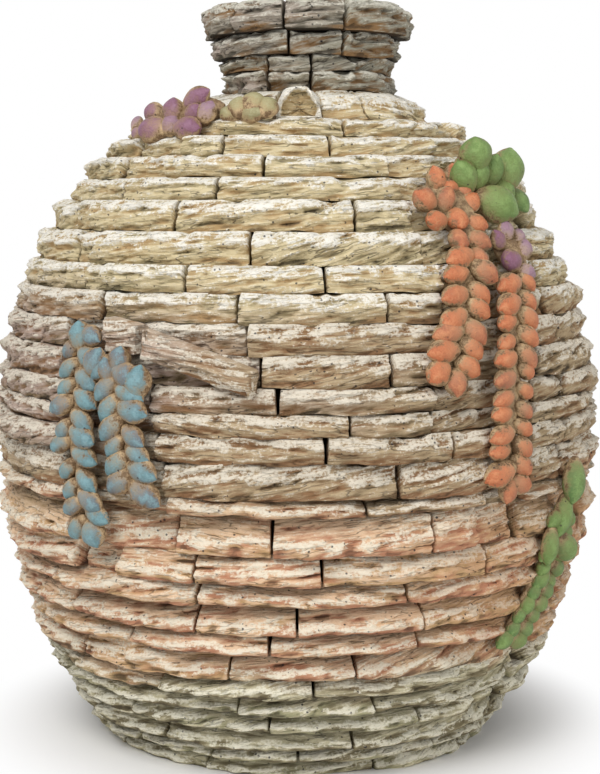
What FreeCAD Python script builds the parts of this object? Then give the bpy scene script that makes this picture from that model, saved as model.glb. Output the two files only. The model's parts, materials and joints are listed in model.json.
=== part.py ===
import FreeCAD, Part
import math
import os
import random

# Garden vase of split stone: courses of flat stones bonded round a turned shell,
# with a short flared neck, a slipped slab and sprays of succulent leaves.
# Millimetres, +Z up, origin at the middle of the underside.
# Bearings are degrees round the axis, 0 at the front (-Y), positive to the right (+X).

# The outside of the stonework
BASE_RADIUS = 106.0
BELLY_RADIUS = 166.0
BELLY_HEIGHT = 176.0
SHOULDER_RADIUS = 90.0
NECK_RADIUS = 51.0
RIM_RADIUS = 60.0
NECK_OFFSET = 6.0

# The shell inside
MOUTH_RADIUS = 33.0
NECK_WALL = 5.0
SHELL_WALL = 10.0
FLOOR_THICKNESS = 14.0
RIM_STEP = 4.0

# The stones
STONE_DEPTH = 20.0
STONE_LENGTH = 84.0
SHORTEST_STONE = 24.0
LENGTH_VARIATION = 0.15
FACET_LENGTH = 21.0
JOINT_GAP = 1.8
SEAT_CLEARANCE = 0.3
UNDERCUT = 3.5
NECK_UNDERCUT = 2.0
TOP_SLOPE = 2.5
FACE_ROUGHNESS = 1.1
STONE_STAGGER = 1.6
CORNER_CHIP = 1.4
LOW_NOSE = 0.5
HIGH_NOSE = 0.8

# The leaves of the sprays and clusters, and the pockets that they sit in
POCKET_DEPTH = 7.0
POCKET_MARGIN = 1.5
LEAF_PITCH = 8.8
LEAF_LENGTH = 9.0
LEAF_TIP = 5.6
LEAF_BASE = 3.0
LEAF_SPREAD = 38.0
LEAF_START = 1.2
STEM_RADIUS = 2.4
INNER_RING_SHARE = 0.5
INNER_RING_RISE = 0.5
CLUSTER_LEAF_START = 0.4

# Thickness of each course of the body, from the ground up, with the bearings of the joints
# that show at the front. Hidden joints are spaced by STONE_LENGTH.
BODY_COURSES = (
    (9.5, (-58.0, -25.5, 22.0, 54.0)),
    (8.0, (-46.0, -22.0, 0.5, 38.0)),
    (12.0, (-60.0, -34.0, 13.5, 47.0)),
    (10.5, (-41.0, -6.0, 29.0)),
    (9.5, (-52.0, -12.5, 17.0, 48.0)),
    (10.5, (-29.5, 3.5, 39.0)),
    (14.0, (-50.0, -13.3, 11.7)),
    (11.0, (-34.0, -5.0, 24.0)),
    (14.5, (-48.0, -19.0, 0.3, 24.2)),
    (11.0, (-52.0, -18.0, 20.5)),
    (14.5, (-35.0, -18.0, 4.6, 36.5)),
    (20.0, (-50.0, -4.0, 24.0)),
    (7.5, (-56.0, -20.0, 12.0)),
    (17.0, (-15.0, 17.5, 56.0)),
    (13.0, (-17.0, 5.0, 27.5, 58.0)),
    (10.5, (-20.0, 9.0, 27.5, 52.0)),
    (12.5, (-3.0, 26.5, 58.0)),
    (15.0, (-60.0, 16.5, 54.0)),
    (14.5, (-56.0, 60.0)),
    (14.0, (-39.0, -10.5, 16.4, 56.0)),
    (13.0, (-45.0, -21.0, 5.5)),
    (16.0, (-52.0, -9.0)),
    (15.0, (-60.0, -27.0, 12.5)),
    (11.0, (-46.0, -18.5)),
    (11.0, (-46.0, -8.0, 21.3)),
    (10.0, (-21.0, 9.5, 35.0)),
    (9.0, (-24.0, 15.5, 46.0)),
)
COVE_COURSE = (16.0, (32.0,))
NECK_COURSES = (
    (11.0, (-52.0, 10.0, 64.0)),
    (8.0, (-20.0, 40.0)),
    (12.0, (-60.0, -5.0, 28.0)),
)
RIM_COURSE = (16.0, (-40.0, 26.0, 70.0))

# Hanging sprays: course of the crown, bearing there, bearing at the tip, pairs of leaves
SPRAYS = {
    "blue_spray_outer": (19, -42.5, -38.5, 11),
    "blue_spray_inner": (18, -32.0, -26.5, 7),
    "orange_spray_inner": (21, 34.5, 28.5, 6),
    "orange_spray_outer": (20, 46.0, 38.5, 11),
}
# Clusters: course, height above its underside, bearing, reach, leaf tip radius, leaves per ring
CLUSTERS = {
    "orange_crown": (23, 9.0, 36.5, 17.0, 6.4, (10, 6)),
    "green_rosette": (25, 2.0, 57.0, 15.0, 7.6, (8, 4)),
    "purple_rosette": (27, 5.0, -45.0, 12.0, 5.6, (8, 4)),
    "purple_buds": (21, 10.0, 53.0, 7.0, 4.6, (5, 2)),
}
# The trailing stem: course that it starts from, bearings of its ends, and its pointed leaves
TRAILER_COURSE = 12
TRAILER_BEARINGS = (64.0, 51.0)
TRAILER_PAIRS = 11
TRAILER_LEAF_LENGTH = 11.0
TRAILER_LEAF_BASE = 3.6
TRAILER_LEAF_TIP = 1.6
TRAILER_SPREAD = 64.0
TRAILER_LIFT = 0.25

# The slab that has slipped across two courses, and the piece broken off its end
SLAB_COURSE = 18
SLAB_BEARINGS = (-27.0, -8.5)
SLAB_HEIGHT = 11.0
SLAB_TAPER = 0.35
SLAB_PROUD = 5.0
SLAB_CLEARANCE = 1.0
SLAB_MARGIN = 2.5
SHARD_BEARINGS = (-36.5, -29.5)
SHARD_HEIGHT = 11.0
SHARD_DROP = 2.0

# The arched stone and the olive boss in the cove under the neck
ARCH_BEARING = 1.0
ARCH_WIDTH = 22.0
ARCH_RISE = 4.0
ARCH_STANDS_BACK = 8.0
BOSS_BEARING = -19.0
BOSS_RADIUS = 9.0
BOSS_STANDS_BACK = 18.0

BODY_HEIGHT = sum(thickness for thickness, _ in BODY_COURSES)
NECK_BOTTOM = BODY_HEIGHT + COVE_COURSE[0]
RIM_BOTTOM = NECK_BOTTOM + sum(thickness for thickness, _ in NECK_COURSES)
TOTAL_HEIGHT = RIM_BOTTOM + RIM_COURSE[0]
NECK_SEAT = MOUTH_RADIUS + NECK_WALL
LOWER_AXIS = BELLY_HEIGHT / math.sqrt(1.0 - (BASE_RADIUS / BELLY_RADIUS) ** 2)
UPPER_AXIS = (BODY_HEIGHT - BELLY_HEIGHT) / math.sqrt(1.0 - (SHOULDER_RADIUS / BELLY_RADIUS) ** 2)
ORIGIN = FreeCAD.Vector(0, 0, 0)
UP = FreeCAD.Vector(0, 0, 1)


def polar(radius, bearing, height):
    """Point at a radius, a bearing in degrees and a height."""
    turn = math.radians(bearing)
    return FreeCAD.Vector(radius * math.sin(turn), -radius * math.cos(turn), height)


def line(start, end):
    """A straight edge."""
    return Part.LineSegment(start, end).toShape()


def course_bottom(number):
    """Height of the underside of a body course, counted from 1 at the ground."""
    return sum(thickness for thickness, _ in BODY_COURSES[:number - 1])


def face_radius(height):
    """Outside of the stonework: two half ellipses, a straight cove, then a neck that flares."""
    if height <= BELLY_HEIGHT:
        return BELLY_RADIUS * math.sqrt(1.0 - ((BELLY_HEIGHT - height) / LOWER_AXIS) ** 2)
    if height <= BODY_HEIGHT:
        return BELLY_RADIUS * math.sqrt(1.0 - ((height - BELLY_HEIGHT) / UPPER_AXIS) ** 2)
    if height <= NECK_BOTTOM:
        share = (height - BODY_HEIGHT) / COVE_COURSE[0]
        return SHOULDER_RADIUS + (NECK_RADIUS - SHOULDER_RADIUS) * share
    share = (height - NECK_BOTTOM) / (TOTAL_HEIGHT - NECK_BOTTOM)
    return NECK_RADIUS + (RIM_RADIUS - NECK_RADIUS) * share ** 3


def seat_radius(height):
    """Outside of the shell, which the backs of the stones follow."""
    shoulder_seat = SHOULDER_RADIUS - STONE_DEPTH
    if height <= BODY_HEIGHT:
        return face_radius(height) - STONE_DEPTH
    if height <= NECK_BOTTOM:
        return shoulder_seat + (NECK_SEAT - shoulder_seat) * (height - BODY_HEIGHT) / COVE_COURSE[0]
    return NECK_SEAT


def lean_right(height):
    """How far the stonework stands off centre: nothing on the body, all of it at the neck."""
    return NECK_OFFSET * min(max((height - BODY_HEIGHT) / COVE_COURSE[0], 0.0), 1.0)


def make_shell():
    """The turned shell: a floor, a seat for each course outside and one smooth curve inside."""
    levels = [course_bottom(number) for number in range(1, len(BODY_COURSES) + 2)]
    shell_top = TOTAL_HEIGHT - RIM_STEP
    outside = [FreeCAD.Vector(seat_radius(level), 0, level) for level in levels]
    outside += [FreeCAD.Vector(NECK_SEAT, 0, NECK_BOTTOM), FreeCAD.Vector(NECK_SEAT, 0, shell_top)]
    inside = []
    spans = 7
    for step in range(spans + 1):
        level = FLOOR_THICKNESS + (BODY_HEIGHT - FLOOR_THICKNESS) * step / spans
        inside.append(FreeCAD.Vector(seat_radius(level) - SHELL_WALL, 0, level))
    belly = Part.BSplineCurve()
    belly.interpolate(inside)
    bore_top = FreeCAD.Vector(MOUTH_RADIUS, 0, shell_top)
    bore_bottom = FreeCAD.Vector(MOUTH_RADIUS, 0, NECK_BOTTOM)
    floor_middle = FreeCAD.Vector(0, 0, FLOOR_THICKNESS)
    corners = [ORIGIN] + outside + [bore_top, bore_bottom, inside[-1]]
    edges = [line(start, end) for start, end in zip(corners, corners[1:])]
    edges += [belly.toShape(), line(inside[0], floor_middle), line(floor_middle, ORIGIN)]
    profile = Part.Face(Part.Wire(Part.__sortEdges__(edges)))
    return profile.revolve(ORIGIN, UP, 360)


def spray_ends(course, pairs):
    """Heights of the top and bottom pair of a spray that hangs from under the top of a course."""
    top = course_bottom(course + 1) - LEAF_TIP
    return top, top - pairs * LEAF_PITCH


def trailer_ends():
    """Heights of the top and bottom pair of leaves on the trailing stem."""
    top = course_bottom(TRAILER_COURSE + 1) - TRAILER_LEAF_BASE
    return top, top - TRAILER_PAIRS * LEAF_PITCH


def pockets():
    """Planted areas: lowest and highest point, bearing at each, and half the width."""
    areas = []
    spread = LEAF_LENGTH * math.sin(math.radians(LEAF_SPREAD)) + LEAF_TIP + POCKET_MARGIN
    for course, top_bearing, tip_bearing, pairs in SPRAYS.values():
        top, bottom = spray_ends(course, pairs)
        areas.append((bottom - LEAF_LENGTH - LEAF_TIP, top + LEAF_BASE, tip_bearing, top_bearing, spread))
    for course, rise, bearing, reach, tip, _ in CLUSTERS.values():
        middle = course_bottom(course) + rise
        half = reach + tip
        areas.append((middle - half, middle + half, bearing, bearing, half + POCKET_MARGIN))
    top, bottom = trailer_ends()
    half = TRAILER_LEAF_LENGTH + TRAILER_LEAF_TIP
    areas.append((bottom - half, top + TRAILER_LEAF_BASE, TRAILER_BEARINGS[1], TRAILER_BEARINGS[0],
                  half + POCKET_MARGIN))
    return areas


def slab_spans():
    """The course, first bearing and last bearing of the stones behind the slipped slab and its shard."""
    start, end = SLAB_BEARINGS
    return (
        (SLAB_COURSE, start - SLAB_MARGIN, end + SLAB_MARGIN),
        (SLAB_COURSE + 1, SHARD_BEARINGS[0] - SLAB_MARGIN, end),
    )


def merge_spans(spans, radius):
    """Spans of bearings in order, joined where no stone would fit between them."""
    bridge = math.degrees(SHORTEST_STONE / radius)
    merged = []
    for start, end in sorted(spans):
        if merged and start <= merged[-1][1] + bridge:
            start, last_end = merged.pop()
            end = max(end, last_end)
        merged.append((start, end))
    return merged


def pocket_spans(bottom, top):
    """Bearings between which the stones of one course are set back."""
    middle = 0.5 * (bottom + top)
    radius = face_radius(middle)
    spans = []
    for low, high, low_bearing, high_bearing, half in pockets():
        if low < top and high > bottom:
            share = min(max((middle - low) / (high - low), 0.0), 1.0)
            centre = low_bearing + (high_bearing - low_bearing) * share
            lean = 0.5 * abs(high_bearing - low_bearing) * (top - bottom) / (high - low)
            reach = math.degrees(half / radius) + lean
            spans.append((centre - reach, centre + reach))
    spans += [(start, end) for course, start, end in slab_spans() if bottom == course_bottom(course)]
    return merge_spans(spans, radius)


def widest_stone(height):
    """Bearings that a stone may span, so that a straight line across its back stays in the wall."""
    wall = SHELL_WALL if height <= BODY_HEIGHT else NECK_WALL
    return 2.0 * math.degrees(math.acos(1.0 - wall / seat_radius(height)))


def ring_joints(bottom, top, shown, spans):
    """All the joints round a course: the edges of the spans, those that show and the hidden ones."""
    radius = face_radius(0.5 * (bottom + top))
    clear = math.degrees(SHORTEST_STONE / radius)
    joints = [edge for span in spans for edge in span]
    for bearing in shown:
        if all(bearing < start - clear or bearing > end + clear for start, end in spans):
            joints.append(bearing)
    joints.sort()
    hidden = 360.0 - (joints[-1] - joints[0])
    count = max(2, round(math.radians(hidden) * radius / STONE_LENGTH))
    draw = random.Random(f"joints {len(shown)} {len(spans)} {sum(shown)}")
    for step in range(1, count):
        shift = draw.uniform(-LENGTH_VARIATION, LENGTH_VARIATION)
        joints.append(joints[0] - hidden * (step + shift) / count)
    joints.sort()
    widest = min(widest_stone(bottom), widest_stone(top))
    split = []
    for start, end in zip(joints, joints[1:] + [joints[0] + 360.0]):
        pieces = math.ceil((end - start) / widest)
        split += [start + (end - start) * step / pieces for step in range(pieces)]
    return split


def stone_levels(bottom, top, undercut):
    """The bottom, nose and top of the stones in a course, with the face and the back at each."""
    share = LOW_NOSE + (HIGH_NOSE - LOW_NOSE) * min(bottom / BODY_HEIGHT, 1.0)
    nose = bottom + (top - bottom) * share
    proud = face_radius(nose)
    faces = (
        0.5 * (face_radius(bottom) + proud) - undercut,
        proud,
        min(face_radius(top), proud) - TOP_SLOPE,
    )
    low_back = seat_radius(bottom) + SEAT_CLEARANCE
    high_back = seat_radius(top) + SEAT_CLEARANCE
    backs = (low_back, low_back + (high_back - low_back) * share, high_back)
    return tuple(zip((bottom, nose, top), faces, backs))


def cove_levels(bottom, top):
    """The same for the hollow course that leads up to the neck."""
    middle = 0.5 * (bottom + top)
    heights = (bottom, middle, top)
    faces = (SHOULDER_RADIUS - UNDERCUT, face_radius(middle) - UNDERCUT, NECK_RADIUS)
    return tuple((height, face, seat_radius(height) + SEAT_CLEARANCE)
                 for height, face in zip(heights, faces))


def stone_outline(height, radii, back, start, end):
    """Plan of a stone at one height: a facetted face, two ends and a round back."""
    facets = len(radii) - 1
    bearings = [start + (end - start) * step / facets for step in range(facets + 1)]
    face = [polar(radius, bearing, height) for radius, bearing in zip(radii, bearings)]
    inner_start = polar(back, start, height)
    inner_middle = polar(back, 0.5 * (start + end), height)
    inner_end = polar(back, end, height)
    edges = [line(first, second) for first, second in zip(face, face[1:])]
    edges += [
        line(face[-1], inner_end),
        Part.Arc(inner_end, inner_middle, inner_start).toShape(),
        line(inner_start, face[0]),
    ]
    return Part.Wire(edges)


def make_stone(levels, start, end, set_back, draw):
    """One stone, a ruled loft through its bottom, nose and top outlines."""
    half_gap = math.degrees(0.5 * JOINT_GAP / levels[0][1])
    start += half_gap
    end -= half_gap
    facets = max(2, round(math.radians(end - start) * levels[1][1] / FACET_LENGTH))
    stagger = draw.uniform(-STONE_STAGGER, STONE_STAGGER)
    wires = []
    for height, face, back in levels:
        radii = []
        for step in range(facets + 1):
            bearing = start + (end - start) * step / facets
            rough = draw.uniform(-FACE_ROUGHNESS, FACE_ROUGHNESS)
            chip = CORNER_CHIP if step in (0, facets) else 0.0
            radius = face_radius(height) - POCKET_DEPTH if set_back else face + stagger + rough - chip
            radii.append(radius + lean_right(height) * math.sin(math.radians(bearing)))
        wires.append(stone_outline(height, radii, back, start, end))
    return Part.makeLoft(wires, True, True)


def make_course(levels, shown, spans=(), open_spans=()):
    """A ring of stones, set back in the spans and left out of the open spans."""
    bottom = levels[0][0]
    top = levels[-1][0]
    joints = ring_joints(bottom, top, shown, sorted([*spans, *open_spans]))
    stones = []
    for number, (start, end) in enumerate(zip(joints, joints[1:] + [joints[0] + 360.0])):
        middle = 0.5 * (start + end)
        if any(low < middle < high for low, high in open_spans):
            continue
        set_back = any(low < middle < high for low, high in spans)
        draw = random.Random(f"stone {number} {len(joints)} {sum(shown)}")
        stones.append(make_stone(levels, start, end, set_back, draw))
    return Part.makeCompound(stones)


def cove_gaps():
    """Bearings that the arched stone and the boss take up in the cove."""
    radius = face_radius(0.5 * (BODY_HEIGHT + NECK_BOTTOM))
    arch = math.degrees((0.5 * ARCH_WIDTH + POCKET_MARGIN) / radius)
    boss = math.degrees((BOSS_RADIUS + POCKET_MARGIN) / radius)
    gaps = [(ARCH_BEARING - arch, ARCH_BEARING + arch), (BOSS_BEARING - boss, BOSS_BEARING + boss)]
    return merge_spans(gaps, radius)


def cove_spans():
    """Bearings where the cove is set back for leaves, run on to a gap that is close by."""
    bridge = math.degrees(SHORTEST_STONE / face_radius(0.5 * (BODY_HEIGHT + NECK_BOTTOM)))
    spans = []
    for start, end in pocket_spans(BODY_HEIGHT, NECK_BOTTOM):
        for low, high in cove_gaps():
            if start < low < end + bridge:
                end = low
            if start - bridge < high < end:
                start = high
        spans.append((start, end))
    return spans


def arch_outline(radius, half):
    """Round-topped outline of the arched stone, square to its bearing."""
    straight = COVE_COURSE[0] - ARCH_RISE
    low_left = FreeCAD.Vector(-half, -radius, BODY_HEIGHT)
    low_right = FreeCAD.Vector(half, -radius, BODY_HEIGHT)
    high_right = low_right + UP * straight
    high_left = low_left + UP * straight
    crown = FreeCAD.Vector(0, -radius, BODY_HEIGHT + COVE_COURSE[0])
    return Part.Wire([
        line(low_left, low_right),
        line(low_right, high_right),
        Part.Arc(high_right, crown, high_left).toShape(),
        line(high_left, low_left),
    ])


def make_arch():
    """The arched stone: its outline narrows from the front towards the axis and ends on the shell."""
    front = SHOULDER_RADIUS - ARCH_STANDS_BACK
    half = 0.5 * ARCH_WIDTH
    wires = [arch_outline(front, half), arch_outline(NECK_SEAT, half * NECK_SEAT / front)]
    block = Part.makeLoft(wires, True, True)
    block.rotate(ORIGIN, UP, ARCH_BEARING)
    return block.cut(shell_cone())


def shell_cone():
    """The shell's outside under the cove, grown by the clearance of a seat."""
    low = seat_radius(BODY_HEIGHT) + SEAT_CLEARANCE
    high = NECK_SEAT + SEAT_CLEARANCE
    return Part.makeCone(low, high, COVE_COURSE[0], FreeCAD.Vector(0, 0, BODY_HEIGHT), UP)


def make_boss():
    """The olive boss: a ball with a flat underside on the shoulder stones."""
    centre = polar(SHOULDER_RADIUS - BOSS_STANDS_BACK, BOSS_BEARING, BODY_HEIGHT + 0.5 * BOSS_RADIUS)
    ball = Part.makeSphere(BOSS_RADIUS, centre)
    side = 4.0 * BOSS_RADIUS
    below = Part.makeBox(side, side, side, centre - FreeCAD.Vector(0.5 * side, 0.5 * side, side))
    below.translate(UP * (BODY_HEIGHT - centre.z))
    return ball.cut(below).cut(shell_cone())


def make_leaf(base, tip, base_radius, tip_radius):
    """A plump leaf: two round ends of different size joined by a cone tangent to both."""
    axis = tip - base
    length = axis.Length
    lean = math.asin((tip_radius - base_radius) / length)
    low_turn = 0.5 * (lean + 0.5 * math.pi)
    high_turn = 0.5 * (0.5 * math.pi - lean)
    bottom = UP * -base_radius
    low_middle = FreeCAD.Vector(base_radius * math.cos(low_turn), 0, -base_radius * math.sin(low_turn))
    low = FreeCAD.Vector(base_radius * math.cos(lean), 0, -base_radius * math.sin(lean))
    high = FreeCAD.Vector(tip_radius * math.cos(lean), 0, length - tip_radius * math.sin(lean))
    high_middle = FreeCAD.Vector(tip_radius * math.cos(high_turn), 0,
                                 length + tip_radius * math.sin(high_turn))
    top = UP * (length + tip_radius)
    edges = [
        Part.Arc(bottom, low_middle, low).toShape(),
        line(low, high),
        Part.Arc(high, high_middle, top).toShape(),
        line(top, bottom),
    ]
    leaf = Part.Face(Part.Wire(edges)).revolve(ORIGIN, UP, 360)
    leaf.Placement = FreeCAD.Placement(base, FreeCAD.Rotation(UP, axis))
    return leaf


def surface_frame(bearing, height):
    """Directions square to the stone face, sideways along it and down it."""
    step = 1.0
    slope = (face_radius(height - step) - face_radius(height)) / step
    sideways = polar(1.0, bearing + 90.0, 0.0)
    downward = polar(slope, bearing, -1.0)
    downward.normalize()
    return sideways.cross(downward) * -1.0, sideways, downward


def pocket_point(bearing, height, lift):
    """A point that stands off the set-back stones, square to the face, with its seat's clearance."""
    outward, _, _ = surface_frame(bearing, height)
    floor = face_radius(height) - POCKET_DEPTH
    return polar(floor, bearing, height) + outward * (lift + SEAT_CLEARANCE)


def make_stem(nodes):
    """Straight runs of stem from node to node."""
    runs = []
    for start, end in zip(nodes, nodes[1:]):
        run = end - start
        runs.append(Part.makeCylinder(STEM_RADIUS, run.Length, start, run))
    return runs


def make_paired_stem(ends, bearings, pairs, spread, length, base_radius, tip_radius, lift):
    """A stem down the pocket with a leaf to each side at every node."""
    top, bottom = ends
    turn = math.radians(spread)
    nodes = []
    solids = []
    for step in range(pairs + 1):
        share = step / pairs
        height = top + (bottom - top) * share
        bearing = bearings[0] + (bearings[1] - bearings[0]) * share
        outward, sideways, downward = surface_frame(bearing, height)
        node = pocket_point(bearing, height, base_radius)
        nodes.append(node)
        for side in (-1.0, 1.0):
            reach = downward * math.cos(turn) + sideways * (side * math.sin(turn)) + outward * lift
            reach.normalize()
            base = node + reach * LEAF_START
            solids.append(make_leaf(base, node + reach * length, base_radius, tip_radius))
    solids += make_stem(nodes)
    return solids[0].multiFuse(solids[1:])


def make_spray(course, top_bearing, tip_bearing, pairs):
    """A hanging spray of plump leaves that overlap down its two sides."""
    lift = (LEAF_TIP - LEAF_BASE) / LEAF_LENGTH
    return make_paired_stem(spray_ends(course, pairs), (top_bearing, tip_bearing), pairs,
                            LEAF_SPREAD, LEAF_LENGTH, LEAF_BASE, LEAF_TIP, lift)


def make_trailer():
    """The trailing stem of short pointed leaves."""
    return make_paired_stem(trailer_ends(), TRAILER_BEARINGS, TRAILER_PAIRS, TRAILER_SPREAD,
                            TRAILER_LEAF_LENGTH, TRAILER_LEAF_BASE, TRAILER_LEAF_TIP, TRAILER_LIFT)


def make_cluster(course, rise, bearing, reach, tip_radius, rings):
    """A rosette: rings of leaves that lean out from one crown, the inner ring steeper."""
    height = course_bottom(course) + rise
    outward, sideways, downward = surface_frame(bearing, height)
    crown = pocket_point(bearing, height, tip_radius)
    solids = [Part.makeSphere(tip_radius, crown)]
    for ring, count in enumerate(rings):
        spread = reach * (1.0 - INNER_RING_SHARE * ring)
        rise_out = reach * INNER_RING_RISE * ring
        for step in range(count):
            turn = 2.0 * math.pi * (step + 0.5 * ring) / count
            axis = sideways * (spread * math.cos(turn)) + downward * (spread * math.sin(turn))
            axis += outward * (rise_out + SEAT_CLEARANCE)
            base = crown + axis * CLUSTER_LEAF_START
            solids.append(make_leaf(base, crown + axis, LEAF_BASE, tip_radius))
    return solids[0].multiFuse(solids[1:])


def pocket_distance(along, height):
    """How far out a flat back clears the set-back stones at a place along it."""
    floor = face_radius(height) - POCKET_DEPTH + SEAT_CLEARANCE
    return math.sqrt(floor ** 2 - along ** 2)


def make_slab(bearings, middle_height, drop, slab_height, taper, seed):
    """A split slab that leans across the wall, a ruled loft through sections along it."""
    middle = 0.5 * (bearings[0] + bearings[1])
    outward = polar(1.0, middle, 0.0)
    sideways = polar(1.0, middle + 90.0, 0.0)
    half_turn = math.radians(0.5 * (bearings[1] - bearings[0]))
    length = 2.0 * (face_radius(middle_height) - POCKET_DEPTH) * math.sin(half_turn)
    sections = []
    for share in (-0.5, -0.2, 0.15, 0.5):
        half = 0.5 * slab_height * (1.0 - taper * (share + 0.5))
        sections.append((length * share, middle_height - drop * share, half))
    floor = max(pocket_distance(along, height + side * half)
                for along, height, half in sections for side in (-1.0, 1.0))
    draw = random.Random(seed)
    wires = []
    for along, height, half in sections:
        depth = POCKET_DEPTH + SLAB_PROUD + draw.uniform(-FACE_ROUGHNESS, FACE_ROUGHNESS)
        centre = outward * floor + sideways * along + UP * height
        corners = [
            centre - UP * half,
            centre - UP * half + outward * (depth - UNDERCUT),
            centre + outward * depth,
            centre + UP * half + outward * (depth - TOP_SLOPE),
            centre + UP * half,
        ]
        wires.append(Part.makePolygon(corners + corners[:1]))
    return Part.makeLoft(wires, True, True)


def make_slabs():
    """The slipped slab, wedged across the height of two courses, and the shard above its end."""
    bottom = course_bottom(SLAB_COURSE)
    bed = course_bottom(SLAB_COURSE + 1)
    top = course_bottom(SLAB_COURSE + 2)
    drop = top - bottom - SLAB_HEIGHT - 2.0 * SLAB_CLEARANCE
    slab = make_slab(SLAB_BEARINGS, 0.5 * (bottom + top), drop, SLAB_HEIGHT, SLAB_TAPER, "slab")
    shard = make_slab(SHARD_BEARINGS, 0.5 * (bed + top), SHARD_DROP, SHARD_HEIGHT, SLAB_TAPER, "shard")
    return slab, shard


def save(shape, name):
    """Write one node."""
    shape.exportStep(f"parts/{name}.step")


def main():
    """Build every node and write it."""
    os.makedirs("parts", exist_ok=True)
    save(make_shell(), "inner_shell")
    for number, (thickness, shown) in enumerate(BODY_COURSES, start=1):
        bottom = course_bottom(number)
        top = bottom + thickness
        course = make_course(stone_levels(bottom, top, UNDERCUT), shown, pocket_spans(bottom, top))
        save(course, f"stone_course_{number:02d}")
    cove = make_course(cove_levels(BODY_HEIGHT, NECK_BOTTOM), COVE_COURSE[1], cove_spans(), cove_gaps())
    save(cove, "cove_stones")
    bottom = NECK_BOTTOM
    for number, (thickness, shown) in enumerate(NECK_COURSES, start=1):
        levels = stone_levels(bottom, bottom + thickness, NECK_UNDERCUT)
        save(make_course(levels, shown), f"neck_course_{number}")
        bottom += thickness
    save(make_course(stone_levels(RIM_BOTTOM, TOTAL_HEIGHT, NECK_UNDERCUT), RIM_COURSE[1]), "rim_stones")
    slab, shard = make_slabs()
    save(slab, "slipped_slab")
    save(shard, "broken_shard")
    save(make_arch(), "arched_stone")
    save(make_boss(), "olive_boss")
    for name, spray in SPRAYS.items():
        save(make_spray(*spray), name)
    for name, cluster in CLUSTERS.items():
        save(make_cluster(*cluster), name)
    save(make_trailer(), "green_trailer")


main()
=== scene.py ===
"""Garden vase of split stone: painted courses, a slipped slab and succulents over the CAD frame."""

import json
import math

import bpy
import numpy as np
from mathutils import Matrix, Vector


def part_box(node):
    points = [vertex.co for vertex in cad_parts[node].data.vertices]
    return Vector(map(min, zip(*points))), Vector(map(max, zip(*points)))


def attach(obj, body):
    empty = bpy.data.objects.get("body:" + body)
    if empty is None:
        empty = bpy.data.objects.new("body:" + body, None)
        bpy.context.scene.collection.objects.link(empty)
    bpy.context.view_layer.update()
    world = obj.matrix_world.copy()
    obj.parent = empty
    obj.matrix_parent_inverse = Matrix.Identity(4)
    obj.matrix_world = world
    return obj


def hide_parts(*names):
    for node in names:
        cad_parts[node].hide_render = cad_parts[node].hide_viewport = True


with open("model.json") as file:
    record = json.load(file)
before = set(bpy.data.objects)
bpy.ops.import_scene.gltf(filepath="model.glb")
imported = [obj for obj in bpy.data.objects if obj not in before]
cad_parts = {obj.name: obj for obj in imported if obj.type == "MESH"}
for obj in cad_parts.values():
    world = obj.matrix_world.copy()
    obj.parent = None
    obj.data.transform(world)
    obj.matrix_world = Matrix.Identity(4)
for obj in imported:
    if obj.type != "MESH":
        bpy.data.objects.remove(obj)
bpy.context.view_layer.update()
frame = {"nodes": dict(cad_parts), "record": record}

bl_info = {
    "name": "Split Stone Vase",
    "version": (1, 0, 0),
    "blender": (4, 5, 0),
    "location": "View3D > Sidebar > Vase",
    "description": "Builds the looks of a garden vase of stacked split stones",
    "category": "Object",
}


def courses(start):
    """Names of the CAD nodes that begin in one way, from the lowest up."""
    return tuple(sorted(name for name in frame["nodes"] if name.startswith(start)))


BODY_COURSES = courses("stone_course_")
NECK_COURSES = (*courses("neck_course_"), "rim_stones")
SLOTS = {row["node"]: row["material_slot"] for row in frame["record"]["subparts"]}
WALL_BOXES = [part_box(node) for node in (*BODY_COURSES, "cove_stones", "neck_course_1")]
WALL_HEIGHTS = np.array([0.5 * (low.z + high.z) for low, high in WALL_BOXES])
WALL_RADII = np.array([0.25 * (high.x - low.x + high.y - low.y) for low, high in WALL_BOXES])
MILLIMETRE = 0.001

# Numbers that the noises of the cove's and the neck's stones start from; a body course has its own number
COVE_NUMBER = 40
NECK_NUMBER = 41
# Numbers that the stems' random draws, and the noises of the loose slabs and the arched stone, start from
STEM_SEED = 60
SLAB_SEED = 700
ARCH_SEED = 31
# Relief of the neck's stones as a share of the body's
NECK_ROUGHNESS = 1.15
# Angles past which an edge is shaded as a crease
STONE_CREASE = math.radians(42.0)
ARCH_CREASE = math.radians(50.0)
LEAF_CREASE = math.radians(80.0)
# How close in height a CAD point on a level lies to it, and how far out from the back a face begins, in
# metres
LEVEL_SLACK = 0.00006
FACE_DEPTH = 0.0015
# Places of the closer columns over a rounded end, as shares of the rounding
END_COLUMNS = np.array([0.0, 0.12, 0.32, 0.62, 1.0])
# Places of the rows under a stone, as shares of the way from its back to its face, and of the rows on its
# ledge, as shares of the way from its face to its back
BED_ROWS = np.array([0.0, 0.5, 0.85])[None, :]
LEDGE_ROWS = np.array([0.05, 0.14, 0.3, 0.55, 1.0])[None, :]
# Pitches along a stone, in metres, of its sloping ledge, chips, waves, bed, undercut and ripple
SHELF_PITCH = 0.07
CHIP_PITCH = 0.015
WAVE_PITCH = 0.028
BED_PITCH = 0.018
HOLLOW_PITCH = 0.035
RIPPLE_PITCH = 0.009
# Pitches along and across, in metres, of a ledge's grit and of the ragged border of the dry-brushing
GRIT_PITCH = (0.008, 0.004)
RAGGED_PITCH = (0.010, 0.005)
# Relief that counts as a full bulge, and depth behind the nose that counts as wholly set in, in metres
BULGE_HEIGHT = 0.0010
SET_IN_DEPTH = 0.010
# Columns and rows to each side whose mean a bulge stands out from
STONE_WINDOW = (4, 3)
SLAB_WINDOW = (4, 2)
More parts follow.
